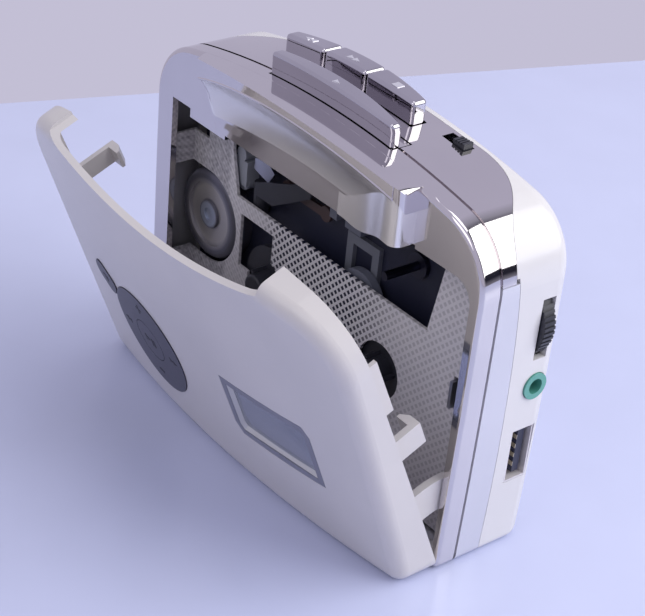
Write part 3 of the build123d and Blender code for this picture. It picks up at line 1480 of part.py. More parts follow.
with BuildPart() as battery_contacts:
    with BuildSketch(side_on(TRAY_LEFT + TRAY_WALL)):
        panel(FRONT_Y + CELL_DEPTH - 5, FRONT_Y + CELL_DEPTH + 5, CELL_HEIGHT - 5, CELL_HEIGHT + 5)
    extrude(amount=0.4)
    with BuildSketch(side_on(TRAY_LEFT + TRAY_WALL)):
        disc(FRONT_Y + CELL_DEPTH, CELL_HEIGHT, 2.6)
    extrude(amount=2.1)
    with BuildSketch(side_on(TRAY_RIGHT - TRAY_WALL)):
        panel(FRONT_Y + CELL_DEPTH - 5, FRONT_Y + CELL_DEPTH + 5, CELL_HEIGHT - 5, CELL_HEIGHT + 5)
    extrude(amount=-0.4)
finish(battery_contacts, "battery_contacts")
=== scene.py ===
import bpy
import bmesh
import math
from mathutils import Matrix, Vector


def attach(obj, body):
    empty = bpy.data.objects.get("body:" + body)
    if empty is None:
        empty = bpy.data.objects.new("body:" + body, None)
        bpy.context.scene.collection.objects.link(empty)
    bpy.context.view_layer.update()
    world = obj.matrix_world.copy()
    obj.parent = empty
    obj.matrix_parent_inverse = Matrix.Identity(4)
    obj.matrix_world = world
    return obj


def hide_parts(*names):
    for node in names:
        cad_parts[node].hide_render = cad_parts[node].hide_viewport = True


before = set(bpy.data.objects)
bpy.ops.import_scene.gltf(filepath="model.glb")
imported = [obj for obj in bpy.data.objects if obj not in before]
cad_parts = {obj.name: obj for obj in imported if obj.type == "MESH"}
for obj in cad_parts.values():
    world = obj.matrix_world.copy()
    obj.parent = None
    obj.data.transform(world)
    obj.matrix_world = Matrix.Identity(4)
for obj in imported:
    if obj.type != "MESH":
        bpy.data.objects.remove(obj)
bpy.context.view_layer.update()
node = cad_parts

# Chromed front frame with its arched lip.
# An ABS moulding, vacuum plated, with a thumb rest hollowed out under the lip so that a finger can
# pull the lid. The plating is a mirror with a faint orange peel, and screws hold it from behind.
MM = 0.001


def new_material(name):
    """Empty node material with its Principled shader and output."""
    material = bpy.data.materials.new(name)
    material.use_nodes = True
    return material, material.node_tree.nodes, material.node_tree.links


def group_socket(tree, name, direction, kind="NodeSocketFloat", value=None):
    """Named input or output of a shader group."""
    socket = tree.interface.new_socket(name=name, in_out=direction, socket_type=kind)
    if value is not None:
        socket.default_value = value


def surface_life_group():
    """Slow and fine variation of a moulded or plated surface, on Object coordinates."""
    tree = bpy.data.node_groups.new("surface life", "ShaderNodeTree")
    group_socket(tree, "Scale", "INPUT", value=400.0)
    group_socket(tree, "Roughness", "INPUT", value=0.3)
    group_socket(tree, "Roughness spread", "INPUT", value=0.05)
    group_socket(tree, "Colour", "INPUT", "NodeSocketColor", (0.8, 0.8, 0.8, 1))
    group_socket(tree, "Worn colour", "INPUT", "NodeSocketColor", (0.7, 0.7, 0.7, 1))
    group_socket(tree, "Colour", "OUTPUT", "NodeSocketColor")
    group_socket(tree, "Roughness", "OUTPUT")
    group_socket(tree, "Height", "OUTPUT")
    nodes, links = tree.nodes, tree.links
    inside = nodes.new("NodeGroupInput")
    outside = nodes.new("NodeGroupOutput")
    place = nodes.new("ShaderNodeTexCoord")
    slow = nodes.new("ShaderNodeTexNoise")
    slow.inputs["Scale"].default_value = 38.0
    slow.inputs["Detail"].default_value = 3.0
    fine = nodes.new("ShaderNodeTexNoise")
    fine.inputs["Detail"].default_value = 4.0
    fine.inputs["Roughness"].default_value = 0.6
    links.new(place.outputs["Object"], slow.inputs["Vector"])
    links.new(place.outputs["Object"], fine.inputs["Vector"])
    links.new(inside.outputs["Scale"], fine.inputs["Scale"])
    mix = nodes.new("ShaderNodeMix")
    mix.data_type = "RGBA"
    ramp = nodes.new("ShaderNodeMapRange")
    ramp.inputs["From Min"].default_value = 0.35
    ramp.inputs["From Max"].default_value = 0.75
    links.new(slow.outputs["Fac"], ramp.inputs["Value"])
    links.new(ramp.outputs["Result"], mix.inputs["Factor"])
    links.new(inside.outputs["Colour"], mix.inputs["A"])
    links.new(inside.outputs["Worn colour"], mix.inputs["B"])
    links.new(mix.outputs["Result"], outside.inputs["Colour"])
    spread = nodes.new("ShaderNodeMath")
    spread.operation = "MULTIPLY_ADD"
    centre = nodes.new("ShaderNodeMath")
    centre.operation = "SUBTRACT"
    centre.inputs[1].default_value = 0.5
    links.new(fine.outputs["Fac"], centre.inputs[0])
    links.new(centre.outputs["Value"], spread.inputs[0])
    links.new(inside.outputs["Roughness spread"], spread.inputs[1])
    links.new(inside.outputs["Roughness"], spread.inputs[2])
    links.new(spread.outputs["Value"], outside.inputs["Roughness"])
    links.new(fine.outputs["Fac"], outside.inputs["Height"])
    return tree


surface_life = surface_life_group()


def lively_material(name, colour, worn, roughness, spread, scale, bump, metallic=0.0, coat=0.0):
    """Principled material whose colour, roughness and height come from the surface life group."""
    material, nodes, links = new_material(name)
    shader = nodes["Principled BSDF"]
    shader.inputs["Metallic"].default_value = metallic
    shader.inputs["Coat Weight"].default_value = coat
    shader.inputs["Coat Roughness"].default_value = 0.08
    life = nodes.new("ShaderNodeGroup")
    life.node_tree = surface_life
    life.inputs["Scale"].default_value = scale
    life.inputs["Roughness"].default_value = roughness
    life.inputs["Roughness spread"].default_value = spread
    life.inputs["Colour"].default_value = (*colour, 1)
    life.inputs["Worn colour"].default_value = (*worn, 1)
    relief = nodes.new("ShaderNodeBump")
    relief.inputs["Strength"].default_value = 0.5
    relief.inputs["Distance"].default_value = bump
    links.new(life.outputs["Colour"], shader.inputs["Base Color"])
    links.new(life.outputs["Roughness"], shader.inputs["Roughness"])
    links.new(life.outputs["Height"], relief.inputs["Height"])
    links.new(relief.outputs["Normal"], shader.inputs["Normal"])
    return material


def closed_mesh(name, points, faces):
    """Closed mesh from points in millimetres, with its faces outwards."""
    mesh = bpy.data.meshes.new(name)
    form = bmesh.new()
    corners = [form.verts.new([MM * value for value in point]) for point in points]
    for face in faces:
        form.faces.new([corners[index] for index in face])
    bmesh.ops.recalc_face_normals(form, faces=form.faces)
    form.to_mesh(mesh)
    form.free()
    return mesh


def swept_faces(rings, count):
    """Faces of a tube of equal rings, with both ends capped."""
    faces = [tuple(range(count)), tuple((rings - 1) * count + index for index in reversed(range(count)))]
    for ring in range(rings - 1):
        for index in range(count):
            following = (index + 1) % count
            low, high = ring * count, (ring + 1) * count
            faces.append((low + index, low + following, high + following, high + index))
    return faces


def settled(piece):
    """Mesh of the piece with its modifiers worked in."""
    bpy.context.view_layer.update()
    graph = bpy.context.evaluated_depsgraph_get()
    mesh = bpy.data.meshes.new_from_object(piece.evaluated_get(graph))
    piece.modifiers.clear()
    return mesh


SHARP_ANGLE = math.radians(32)


def fitted_piece(name, mesh, material, body, edge=0.0, segments=3):
    """Piece with rounded edges and even shading that rides on its body."""
    piece = bpy.data.objects.new(name, mesh)
    bpy.context.scene.collection.objects.link(piece)
    if edge:
        rounding = piece.modifiers.new("rounding", "BEVEL")
        rounding.width = MM * edge
        rounding.segments = segments
        rounding.limit_method = "ANGLE"
        rounding.angle_limit = SHARP_ANGLE
        piece.data = settled(piece)
    piece.data.shade_smooth()
    piece.data.set_sharp_from_angle(angle=SHARP_ANGLE)
    weights = piece.modifiers.new("weights", "WEIGHTED_NORMAL")
    weights.keep_sharp = True
    piece.data = settled(piece)
    piece.data.materials.clear()
    piece.data.materials.append(material)
    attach(piece, body)
    return piece


chrome = lively_material(
    "chrome plate", (0.70, 0.67, 0.68), (0.65, 0.62, 0.635), 0.055, 0.04, 700, 0.0000015, metallic=1.0
)

FRONT = -12.7
ARCH_CENTRE = -145.0
WINDOW_ARCH = 211.8
LIP_LOW = 84.76
LIP_END_TOP = 83.64
SCOOP_HEIGHT = 71.0
HOLLOW_RADIUS = 18.0
HOLLOW_REACH = 6.4
HOLLOW_TURN_START = -33.0
HOLLOW_TURN_LENGTH = 5.2
HOLLOW_TURN_RADIUS = 3.4
HOLLOW_TURN_REACH = 3.3
TOOL_FOOT = 58.0


def arch_height(radius, x):
    """Height at this x of an arch round the common centre."""
    return ARCH_CENTRE + math.sqrt(radius**2 - x * x)


def smooth_share(value):
    """Share between 0 and 1 that starts and ends gently."""
    share = min(1.0, max(0.0, value))
    return share * share * (3 - 2 * share)


def hollow_rise(radius, reach):
    """How high the thumb rest's section has risen where it stands this far forward of the frame."""
    return math.sqrt(radius**2 - (radius - reach) ** 2)


def hollow_shape(x):
    """Radius of the thumb rest's section at this x, and the height where it starts."""
    shrink = smooth_share((HOLLOW_TURN_START - x) / HOLLOW_TURN_LENGTH)
    radius = HOLLOW_RADIUS - (HOLLOW_RADIUS - HOLLOW_TURN_RADIUS) * shrink
    reach = HOLLOW_REACH - (HOLLOW_REACH - HOLLOW_TURN_REACH) * shrink
    return radius, LIP_LOW - hollow_rise(radius, reach)


def spaced(first, pitch, count):
    """Places along X at one pitch, from the first one on."""
    return [first + pitch * step for step in range(count)]


def hollow_tool():
    """Closed form of the thumb rest, turned about the arch's axis and rounded off at its left end."""
    turns = 18
    skin = 0.05
    proud = FRONT - 0.01
    ahead = FRONT - 24
    foot = 60.0
    left_end = spaced(HOLLOW_TURN_START - 13.2, 0.3, 45)
    places = left_end + spaced(HOLLOW_TURN_START + 0.3, 1.5, 51)
    points = []
    for x in places:
        radius, low = hollow_shape(x)
        section = []
        for turn in range(turns + 1):
            angle = math.radians(90 * turn / turns)
            depth = (radius + skin) * math.cos(angle) - radius
            section.append((min(proud, FRONT + depth), low + (radius + skin) * math.sin(angle)))
        section += [(ahead, low + radius), (ahead, foot), (proud, foot)]
        lean = math.asin(x / (SCOOP_HEIGHT - ARCH_CENTRE))
        for y, z in section:
            span = z - ARCH_CENTRE
            points.append((span * math.sin(lean), y, ARCH_CENTRE + span * math.cos(lean)))
    return closed_mesh("hollow tool", points, swept_faces(len(places), turns + 4))


CHEEK_START = 12.0
CHEEK_END = 36.3
CHEEK_REACH = 5.0
CHEEK_ROUND = 2.2
CHEEK_FLARE = 2.6
CHEEK_FOOT = 70.9
FOOT_START = 17.0
FOOT_LENGTH = 16.0


def cheek_reach(x):
    """How far the cheek stands forward of the frame: a slow flare, then a round corner."""
    centre = CHEEK_END - CHEEK_ROUND
    if x <= CHEEK_START:
        return 0.0
    if x < centre:
        share = (x - CHEEK_START) / (centre - CHEEK_START)
        return CHEEK_REACH * math.sin(math.pi / 2 * share**CHEEK_FLARE)
    beyond = min(x, CHEEK_END) - centre
    return CHEEK_REACH - CHEEK_ROUND + math.sqrt(max(0.0, CHEEK_ROUND**2 - beyond**2))


def cheek_foot(x):
    """Height of the lip's lower edge, which leaves the arch towards the cheek."""
    arch = arch_height(WINDOW_ARCH, x)
    return arch + (CHEEK_FOOT - arch) * smooth_share((x - FOOT_START) / FOOT_LENGTH)


def corner_tool():
    """Closed form that rounds the lip's right corner off, seen from above."""
    turns = 12
    head = 92.0
    outside = CHEEK_END + 1.5
    middle = (CHEEK_END - CHEEK_ROUND, FRONT - CHEEK_REACH + CHEEK_ROUND)
    plan = [(outside, middle[1]), (outside, middle[1] - 5), (middle[0], middle[1] - 5)]
    for turn in range(turns + 1):
        angle = math.radians(-90 + 90 * turn / turns)
        plan.append((middle[0] + CHEEK_ROUND * math.cos(angle), middle[1] + CHEEK_ROUND * math.sin(angle)))
    points = [(x, y, z) for z in (TOOL_FOOT, head) for x, y in plan]
    return closed_mesh("corner tool", points, swept_faces(2, len(plan)))


LIP_SLOPE = 0.157
LIP_SLOPE_LENGTH = 1.012
SHOULDER_TURN = 81
SHOULDER = ((7.0, 2.0), (3.0, 1.7), (0.02, 0.15))


def shoulder_tool():
    """Closed form that rounds the lip's top right edge, and fades out where the lip joins the frame."""
    turns = 10
    outside = CHEEK_END + 2
    head = 88.0
    points = []
    for forward, radius in SHOULDER:
        middle = (CHEEK_END - radius, LIP_END_TOP + LIP_SLOPE * radius - LIP_SLOPE_LENGTH * radius)
        section = [(outside, middle[1])]
        for turn in range(turns + 1):
            angle = math.radians(SHOULDER_TURN * turn / turns)
            section.append((middle[0] + radius * math.cos(angle), middle[1] + radius * math.sin(angle)))
        section += [(section[-1][0] + 0.3, head), (outside, head)]
        points += [(x, FRONT - forward, z) for x, z in section]
    return closed_mesh("shoulder tool", points, swept_faces(len(SHOULDER), turns + 4))


def foot_tool():
    """Closed form under the lip's lower edge."""
    ahead = FRONT - 9
    inside = FRONT + 1.75
    places = spaced(FOOT_START - 1, 0.5, 43)
    points = []
    for x in places:
        foot = cheek_foot(x)
        points += [(x, ahead, TOOL_FOOT), (x, ahead, foot), (x, inside, foot), (x, inside, TOOL_FOOT)]
    return closed_mesh("foot tool", points, swept_faces(len(places), 4))


SAME_PLACE = 0.000001


def dished_frame():
    """Front frame with its thumb rest rounded off at the left and its lip shaped for the cheek."""
    mesh = node["front_frame"].data.copy()
    form = bmesh.new()
    form.from_mesh(mesh)
    bmesh.ops.remove_doubles(form, verts=form.verts, dist=SAME_PLACE)
    form.to_mesh(mesh)
    form.free()
    if "custom_normal" in mesh.attributes:
        mesh.attributes.remove(mesh.attributes["custom_normal"])
    frame_piece = bpy.data.objects.new("dished frame", mesh)
    bpy.context.scene.collection.objects.link(frame_piece)
    for tool_mesh in (hollow_tool(), corner_tool(), shoulder_tool(), foot_tool()):
        tool = bpy.data.objects.new("tool", tool_mesh)
        bpy.context.scene.collection.objects.link(tool)
        cut = frame_piece.modifiers.new("cut", "BOOLEAN")
        cut.operation = "DIFFERENCE"
        cut.solver = "EXACT"
        cut.object = tool
        frame_piece.data = settled(frame_piece)
        bpy.data.objects.remove(tool)
    shaped = frame_piece.data
    bpy.data.objects.remove(frame_piece)
    return shaped


frame_shell = fitted_piece("frame_shell", dished_frame(), chrome, "case")
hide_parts("front_frame")

# Bead under the lip.
# A fine rounded rim that stiffens the lip's lower edge, moulded and plated with the frame. It
# catches the light as one bright line.
BEAD_LEFT = -35.6
BEAD_LENGTH = 69.8
BEAD_RADIUS = 0.34
BEAD_DROP = 0.12
BEAD_INSET = 0.16


def arc_through(first, middle, last):
    """Function that gives the second coordinate of the arc through three points."""
    (x1, y1), (x2, y2), (x3, y3) = first, middle, last
    double_area = x1 * (y2 - y3) - y1 * (x2 - x3) + x2 * y3 - x3 * y2
    squares = [x * x + y * y for x, y in (first, middle, last)]
    centre_x = (squares[0] * (y2 - y3) + squares[1] * (y3 - y1) + squares[2] * (y1 - y2)) / (2 * double_area)
    centre_y = (squares[0] * (x3 - x2) + squares[1] * (x1 - x3) + squares[2] * (x2 - x1)) / (2 * double_area)
    radius = math.hypot(x1 - centre_x, y1 - centre_y)
    return lambda x: centre_y + math.sqrt(radius**2 - (x - centre_x) ** 2)


lip_reach = arc_through((36.3, 5.0), (0.0, 6.4), (-36.5, 3.6))


def bead_mesh():
    """Fine round bead along the lower edge of the lip."""
    places = 60
    sides = 10
    points = []
    for place in range(places + 1):
        x = BEAD_LEFT + BEAD_LENGTH * place / places
        reach = lip_reach(x)
        height = arch_height(SCOOP_HEIGHT + hollow_rise(HOLLOW_RADIUS, reach) + BEAD_DROP - ARCH_CENTRE, x)
        for side in range(sides):
            angle = 2 * math.pi * side / sides
            forward = FRONT - reach + BEAD_INSET + BEAD_RADIUS * math.cos(angle)
            points.append((x, forward, height + BEAD_RADIUS * math.sin(angle)))
    return closed_mesh("lip bead", points, swept_faces(places + 1, sides))


fitted_piece("lip_bead", bead_mesh(), chrome, "case")

# Polished thumb rest, and the cheek at the lip's right end.
# Both belong to the same plated moulding, but the hollow has a softer polish than the flat faces, and its
# plating is painted paler than the frame's: painted reflection of the pale light in front of it.
# The cheek flares forward out of the frame and ends in a rounded corner.
soft_chrome_painted_reflection = lively_material(
    "polished hollow painted reflection", (0.93, 0.91, 0.90), (0.88, 0.86, 0.86), 0.26, 0.04, 700, 0.0000008, metallic=0.85
)
POLISH_AND_REFLECTION_FRONT = FRONT - 0.02
POLISH_AND_REFLECTION_LEFT = -44
POLISH_AND_REFLECTION_RIGHT = 36.2
POLISH_AND_REFLECTION_TOP = 83.6
POLISH_AND_REFLECTION_DEPTH = 0.25
# Faces of the hollow take the softer, paler plating with its painted reflection.
frame_shell.data.materials.append(soft_chrome_painted_reflection)
for face in frame_shell.data.polygons:
    x, y, z = (value / MM for value in face.center)
    radius, low = hollow_shape(x)
    height = math.hypot(x, z - ARCH_CENTRE) + ARCH_CENTRE
    off = abs(math.hypot(y - FRONT + radius, height - low) - radius)
    if y < POLISH_AND_REFLECTION_FRONT and POLISH_AND_REFLECTION_LEFT < x < POLISH_AND_REFLECTION_RIGHT and height < POLISH_AND_REFLECTION_TOP and off < POLISH_AND_REFLECTION_DEPTH:
        face.material_index = 1


def cheek_mesh():
    """Flared right end of the lip, from its lower edge up into the lip."""
    places = spaced(CHEEK_START + 0.2, 0.6, 37) + spaced(CHEEK_END - CHEEK_ROUND, 0.2, 11)
    places += [CHEEK_END - 0.03, CHEEK_END + 0.04]
    inside = FRONT + 0.9
    least = 0.02
    sunk = 0.25
    highest = LIP_END_TOP - 1.2
    points = []
    for x in places:
        ahead = FRONT - max(least, cheek_reach(x))
        low = cheek_foot(x) + least
        height = SCOOP_HEIGHT + hollow_rise(HOLLOW_RADIUS, FRONT - ahead) + sunk
        top = min(highest, max(low + 2, arch_height(height - ARCH_CENTRE, x)))
        points += [(x, inside, low), (x, ahead, low), (x, ahead, top), (x, inside, top)]
    return closed_mesh("visor cheek", points, swept_faces(len(places), 4))


# The cheek takes the same paler plating with its painted reflection.
fitted_piece("visor_cheek", cheek_mesh(), soft_chrome_painted_reflection, "case")

# Chromed cover behind the groove.
# A second plated moulding that runs over the top and down both shoulders, clipped to the white
# shell along a curved seam, with slots for the keys and the hold slider.


def dress(material, *names):
    """Gives the CAD nodes this one material."""
    for name in names:
        piece = node[name]
        piece.data.materials.clear()
        piece.data.materials.append(material)


dress(chrome, "top_cover")

# Satin side band between the plating and the white shell.
# Moulded with the deck's own frame and sprayed with a fine silver lacquer, paler than the plating.
satin = lively_material(
    "satin band", (0.70, 0.70, 0.75), (0.66, 0.66, 0.71), 0.30, 0.05, 1200, 0.000001, metallic=0.6
)
dress(satin, "side_band")

# White rear shell and battery door.
# Gloss ABS mouldings with generous edge radii, screwed to the front frame from the back.
# The colour is a cool white that has not yellowed, with a very slow unevenness from the mould.
white_plastic = lively_material(
    "white case", (0.72, 0.71, 0.72), (0.69, 0.68, 0.695), 0.24, 0.06, 1500, 0.000003, coat=0.25
)
dress(white_plastic, "rear_shell", "battery_door")

# Lid.
# One crowned white moulding with its hooks, strap and hinge lugs, in the same plastic as the shell.
# It swings on two steel pins at its foot, and its outer face is a little satiny from handling.
# Its colour is painted greyer than the shell's white. This is painted shade for the open lid, which stands in
# shade.
lid_plastic_painted_shade = lively_material(
    "lid white painted shade", (0.64, 0.615, 0.62), (0.60, 0.58, 0.59), 0.30, 0.07, 1500, 0.000003, coat=0.15
)
dress(lid_plastic_painted_shade, "lid_shell")

OPEN = math.radians(24.5)
HINGE = (FRONT + 1.8, 3.2)
RIM = 1.95


def on_lid(x, z, out):
    """Point on the open lid: x and z as on the closed lid, out from the lid's rim, in millimetres."""
    up = z - HINGE[1]
    out = RIM + out
    return (
        x,
        HINGE[0] - out * math.cos(OPEN) - up * math.sin(OPEN),
        HINGE[1] - out * math.sin(OPEN) + up * math.cos(OPEN),
    )


CROWN_HEIGHT = 12.2
CROWN_RADIUS = 350
CROWN_TAPER = 0.055
CROWN_MIDDLE = 40


def crown(x, z):
    """Height of the lid's crowned face over its rim."""
    return CROWN_HEIGHT - x * x / (2 * CROWN_RADIUS) - CROWN_TAPER * (z - CROWN_MIDDLE)


# Window bezel and the bright sill inside it.
# A grey satin frame glued into the lid, with a pale bevelled sill that leads down to the pane.
BEZEL = [(10.8, 43.0), (38.2, 45.2), (39.9, 42.8), (40.1, 27.2), (13.0, 25.7), (11.1, 28.4)]
SILL_OUTER = 1.72
SILL_INNER = 2.35
SILL_TOP = 0.12
PANE_DEPTH = 0.98
bezel_grey = lively_material(
    "bezel grey", (0.205, 0.21, 0.27), (0.18, 0.185, 0.24), 0.30, 0.06, 1800, 0.000005
)
dress(bezel_grey, "window_bezel")


def drawn_inwards(corners, distance):
    """Convex outline with each side moved inwards by the distance."""
    area = sum(a[0] * b[1] - b[0] * a[1] for a, b in zip(corners, corners[1:] + corners[:1]))
    side = 1 if area > 0 else -1
    lines = []
    for a, b in zip(corners, corners[1:] + corners[:1]):
        length = math.hypot(b[0] - a[0], b[1] - a[1])
        normal = (-side * (b[1] - a[1]) / length, side * (b[0] - a[0]) / length)
        lines.append((normal, normal[0] * a[0] + normal[1] * a[1] + distance))
    result = []
    for (first, reach), (second, length) in zip(lines[-1:] + lines[:-1], lines):
        cross = first[0] * second[1] - first[1] * second[0]
        across = (reach * second[1] - length * first[1]) / cross
        result.append((across, (first[0] * length - second[0] * reach) / cross))
    return result


def sill_mesh():
    """Wedge shaped ring between the bezel's inner edge and the pane."""
    outer = drawn_inwards(BEZEL, SILL_OUTER)
    inner = drawn_inwards(BEZEL, SILL_INNER)
    points = []
    for (outer_x, outer_z), (inner_x, inner_z) in zip(outer, inner):
        points.append(on_lid(outer_x, outer_z, crown(outer_x, outer_z) - SILL_TOP))
        points.append(on_lid(inner_x, inner_z, crown(inner_x, inner_z) - PANE_DEPTH))
        points.append(on_lid(outer_x, outer_z, crown(outer_x, outer_z) - PANE_DEPTH))
    count = len(points)
    faces = []
    for start in range(0, count, 3):
        following = (start + 3) % count
        for index in range(3):
            beside = (index + 1) % 3
            faces.append((start + index, start + beside, following + beside, following + index))
    return closed_mesh("window sill", points, faces)


sill_white = lively_material(
    "sill white", (0.58, 0.58, 0.61), (0.52, 0.52, 0.56), 0.22, 0.05, 1800, 0.000003, coat=0.3
)
fitted_piece("window_sill", sill_mesh(), sill_white, "lid")

# Clear pane of the lid's window.
# Injection moulded acrylic with a faint blue cast and a polished face, held by the bezel.


def clear_material():
    """Clear plastic with a faint cast and a slightly uneven polish."""
    material, nodes, links = new_material("clear window")
    shader = nodes["Principled BSDF"]
    shader.inputs["Transmission Weight"].default_value = 0.85
    shader.inputs["IOR"].default_value = 1.49
    place = nodes.new("ShaderNodeTexCoord")
    slow = nodes.new("ShaderNodeTexNoise")
    slow.inputs["Scale"].default_value = 60.0
    links.new(place.outputs["Object"], slow.inputs["Vector"])
    tone = nodes.new("ShaderNodeValToRGB")
    tone.color_ramp.elements[0].color = (0.62, 0.68, 0.84, 1)
    tone.color_ramp.elements[1].color = (0.70, 0.75, 0.90, 1)
    links.new(slow.outputs["Fac"], tone.inputs["Fac"])
    links.new(tone.outputs["Color"], shader.inputs["Base Color"])
    polish = nodes.new("ShaderNodeMapRange")
    polish.inputs["To Min"].default_value = 0.05
    polish.inputs["To Max"].default_value = 0.14
    links.new(slow.outputs["Fac"], polish.inputs["Value"])
    links.new(polish.outputs["Result"], shader.inputs["Roughness"])
    return material


dress(clear_material(), "window_pane")

# Keypad ring, its middle button and the lens shaped button beside it.
# Slate grey mouldings with a satin face, pushed up through the lid by the board behind them.
# Small black marks are printed on them.
slate = lively_material(
    "slate plastic", (0.045, 0.045, 0.074), (0.037, 0.037, 0.062), 0.36, 0.08, 1800, 0.000008
)
dress(slate, "keypad_ring", "keypad_centre", "lens_button")
print_black = lively_material(
    "printed black", (0.012, 0.012, 0.022), (0.018, 0.018, 0.03), 0.45, 0.08, 2600, 0.000004
)


def mark_mesh(name, outlines, place, levels):
    """Thin closed marks, each from its outline at a low and a high level over the face below."""
    points, faces = [], []
    for outline in outlines:
        start = len(points)
        for level in levels:
            points += [place(*corner, level) for corner in outline]
        faces += [tuple(start + index for index in face) for face in swept_faces(2, len(outline))]
    return closed_mesh(name, points, faces)


PRINT_LEVELS = (0.16, 0.30)


def printed_mark(name, outlines, body):
    """Thin printed marks on the crowned buttons, from outlines on the closed lid."""
    mesh = mark_mesh(name, outlines, lambda x, z, level: on_lid(x, z, crown(x, z) + level), PRINT_LEVELS)
    fitted_piece(name, mesh, print_black, body)


def arrowhead(x, z, size, way):
    """Outline of a small triangle that points one way, in degrees from the right."""
    return [
        (x + size * math.cos(math.radians(way + turn)), z + size * math.sin(math.radians(way + turn)))
        for turn in (0, 130, 230)
    ]


def bar_mark(x, z, width, height):
    """Outline of a small upright bar."""
    left, right = x - width / 2, x + width / 2
    low, high = z - height / 2, z + height / 2
    return [(left, low), (right, low), (right, high), (left, high)]


PAD = (-22.3, 31.1)
MARK_REACH = 10.2
ring_marks = []
for way in (0, 180):
    for reach in (9.4, 10.9):
        ring_marks.append(arrowhead(PAD[0] + math.cos(math.radians(way)) * reach, PAD[1], 0.95, way))
for rise, width, height in (
    (MARK_REACH, 2.2, 0.55),
    (MARK_REACH + 0.85, 0.55, 0.9),
    (MARK_REACH - 0.85, 0.55, 0.9),
    (-MARK_REACH, 2.2, 0.55),
):
    ring_marks.append(bar_mark(PAD[0], PAD[1] + rise, width, height))
printed_mark("ring_marks", ring_marks, "ring")
centre_marks = [arrowhead(PAD[0] - 1.2, PAD[1], 1.3, 0)]
centre_marks += [bar_mark(PAD[0] + shift, PAD[1], 0.5, 2.2) for shift in (1.0, 2.0)]
printed_mark("centre_marks", centre_marks, "centre")
printed_mark("lens_marks", [arrowhead(-38.2, 40.2, 1.1, 58), bar_mark(-39.2, 40.8, 1.6, 0.45)], "lens")

# Board behind the keypad.
# Thin paper laminate with a white lacquer, screwed to posts inside the lid.
pale_board = lively_material("pale board", (0.62, 0.61, 0.60), (0.56, 0.55, 0.54), 0.45, 0.08, 1600, 0.000006)
dress(pale_board, "keypad_board")

# Transport keys: a long play bar at the front and three keys behind it.
# Plated caps in a darker chrome than the frame, with finely rounded edges, on straight stems that
# drop into slots over the mechanism. Raised marks stand on their tops.
dark_chrome = lively_material(
    "dark chrome", (0.56, 0.54, 0.58), (0.50, 0.48, 0.52), 0.05, 0.04, 700, 0.0000004, metallic=1.0
)
KEY_FOOT = 79.5
STEM_TOP = 88.7
LEAN_TOP = 92.7
KEY_ARCH = 236.7
COVER_ARCH = 231.5


def key_top(x):
    """Height of the keys' arched tops at this x."""
    return arch_height(KEY_ARCH, x)


def key_mesh(name, left, right, stem, lean_front, lean_back, steps=26):
    """Key with a straight stem and a head that leans to its own plan at the lean's top."""
    points = []
    for step in range(steps + 1):
        x = left + (right - left) * step / steps
        top = key_top(x)
        share = (top - STEM_TOP) / (LEAN_TOP - STEM_TOP)
        front, back = stem(x)
        head_front = front + share * (lean_front(x) - front)
        head_back = back + share * (lean_back(x) - back)
        section = [(front, KEY_FOOT), (front, STEM_TOP), (head_front, top)]
        section += [(head_back, top), (back, STEM_TOP), (back, KEY_FOOT)]
        points += [(x, FRONT + depth, height) for depth, height in section]
    return closed_mesh(name, points, swept_faces(steps + 1, 6))


BAR_LEFT = -18.6
BAR_RIGHT = 23.0
BAR_FRONT = 3.4
BAR_LEAN = 3.2
BAR_STEP = 0.7
STEM_GAP = 0.1
STEM_FRONT = 3.5
STEM_BACK = 8.48


def stem_mesh():
    """Foot of the play bar, which fills its slot up to the cover's face."""
    steps = 20
    sunk = 0.15
    points = []
    for step in range(steps + 1):
        x = BAR_LEFT + STEM_GAP + (BAR_RIGHT - BAR_LEFT - 2 * STEM_GAP) * step / steps
        cover = arch_height(COVER_ARCH, x) - sunk
        section = [(STEM_FRONT, KEY_FOOT), (STEM_FRONT, cover), (STEM_BACK, cover), (STEM_BACK, KEY_FOOT)]
        points += [(x, FRONT + depth, height) for depth, height in section]
    return closed_mesh("play stem", points, swept_faces(steps + 1, 4))


bar_back = arc_through((BAR_RIGHT, 5.1), (2.0, 7.6), (BAR_LEFT, 6.0))
bar_mesh = key_mesh(
    "play cap",
    BAR_LEFT,
    BAR_RIGHT,
    lambda x: (BAR_FRONT, bar_back(x) + BAR_STEP),
    lambda x: BAR_LEAN - (x - BAR_LEFT) / (BAR_RIGHT - BAR_LEFT),
    bar_back,
)
play_cap = fitted_piece("play_cap", bar_mesh, dark_chrome, "play", edge=0.8, segments=5)
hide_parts("play_bar")
fitted_piece("play_stem", stem_mesh(), chrome, "play")

BANK_FRONT = 13.5
BANK_LEFT = -27.0
BANK_RIGHT = 17.2
bank_back = arc_through((BANK_LEFT, 17.1), (-5.0, 19.7), (BANK_RIGHT, 17.4))
for key, left, right in (("rewind", BANK_LEFT, -13.3), ("forward", -12.9, 1.0), ("stop", 1.4, BANK_RIGHT)):
    cap_mesh = key_mesh(
        key + " cap", left, right, lambda x: (BANK_FRONT, bank_back(x)), lambda x: BANK_FRONT, bank_back, 12
    )
    cap = fitted_piece(key + "_cap", cap_mesh, dark_chrome, key, edge=0.9, segments=5)
    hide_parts(key + "_key")

mark_metal = lively_material(
    "raised marks", (0.80, 0.80, 0.84), (0.74, 0.74, 0.79), 0.22, 0.06, 1500, 0.000002, metallic=0.7
)


RAISED_LEVELS = (-0.15, 0.13)


def raised_mark(name, outlines, body):
    """Raised marks on the arched top of a key."""
    mesh = mark_mesh(
        name, outlines, lambda x, depth, level: (x, FRONT + depth, key_top(x) + level), RAISED_LEVELS
    )
    fitted_piece(name, mesh, mark_metal, body)


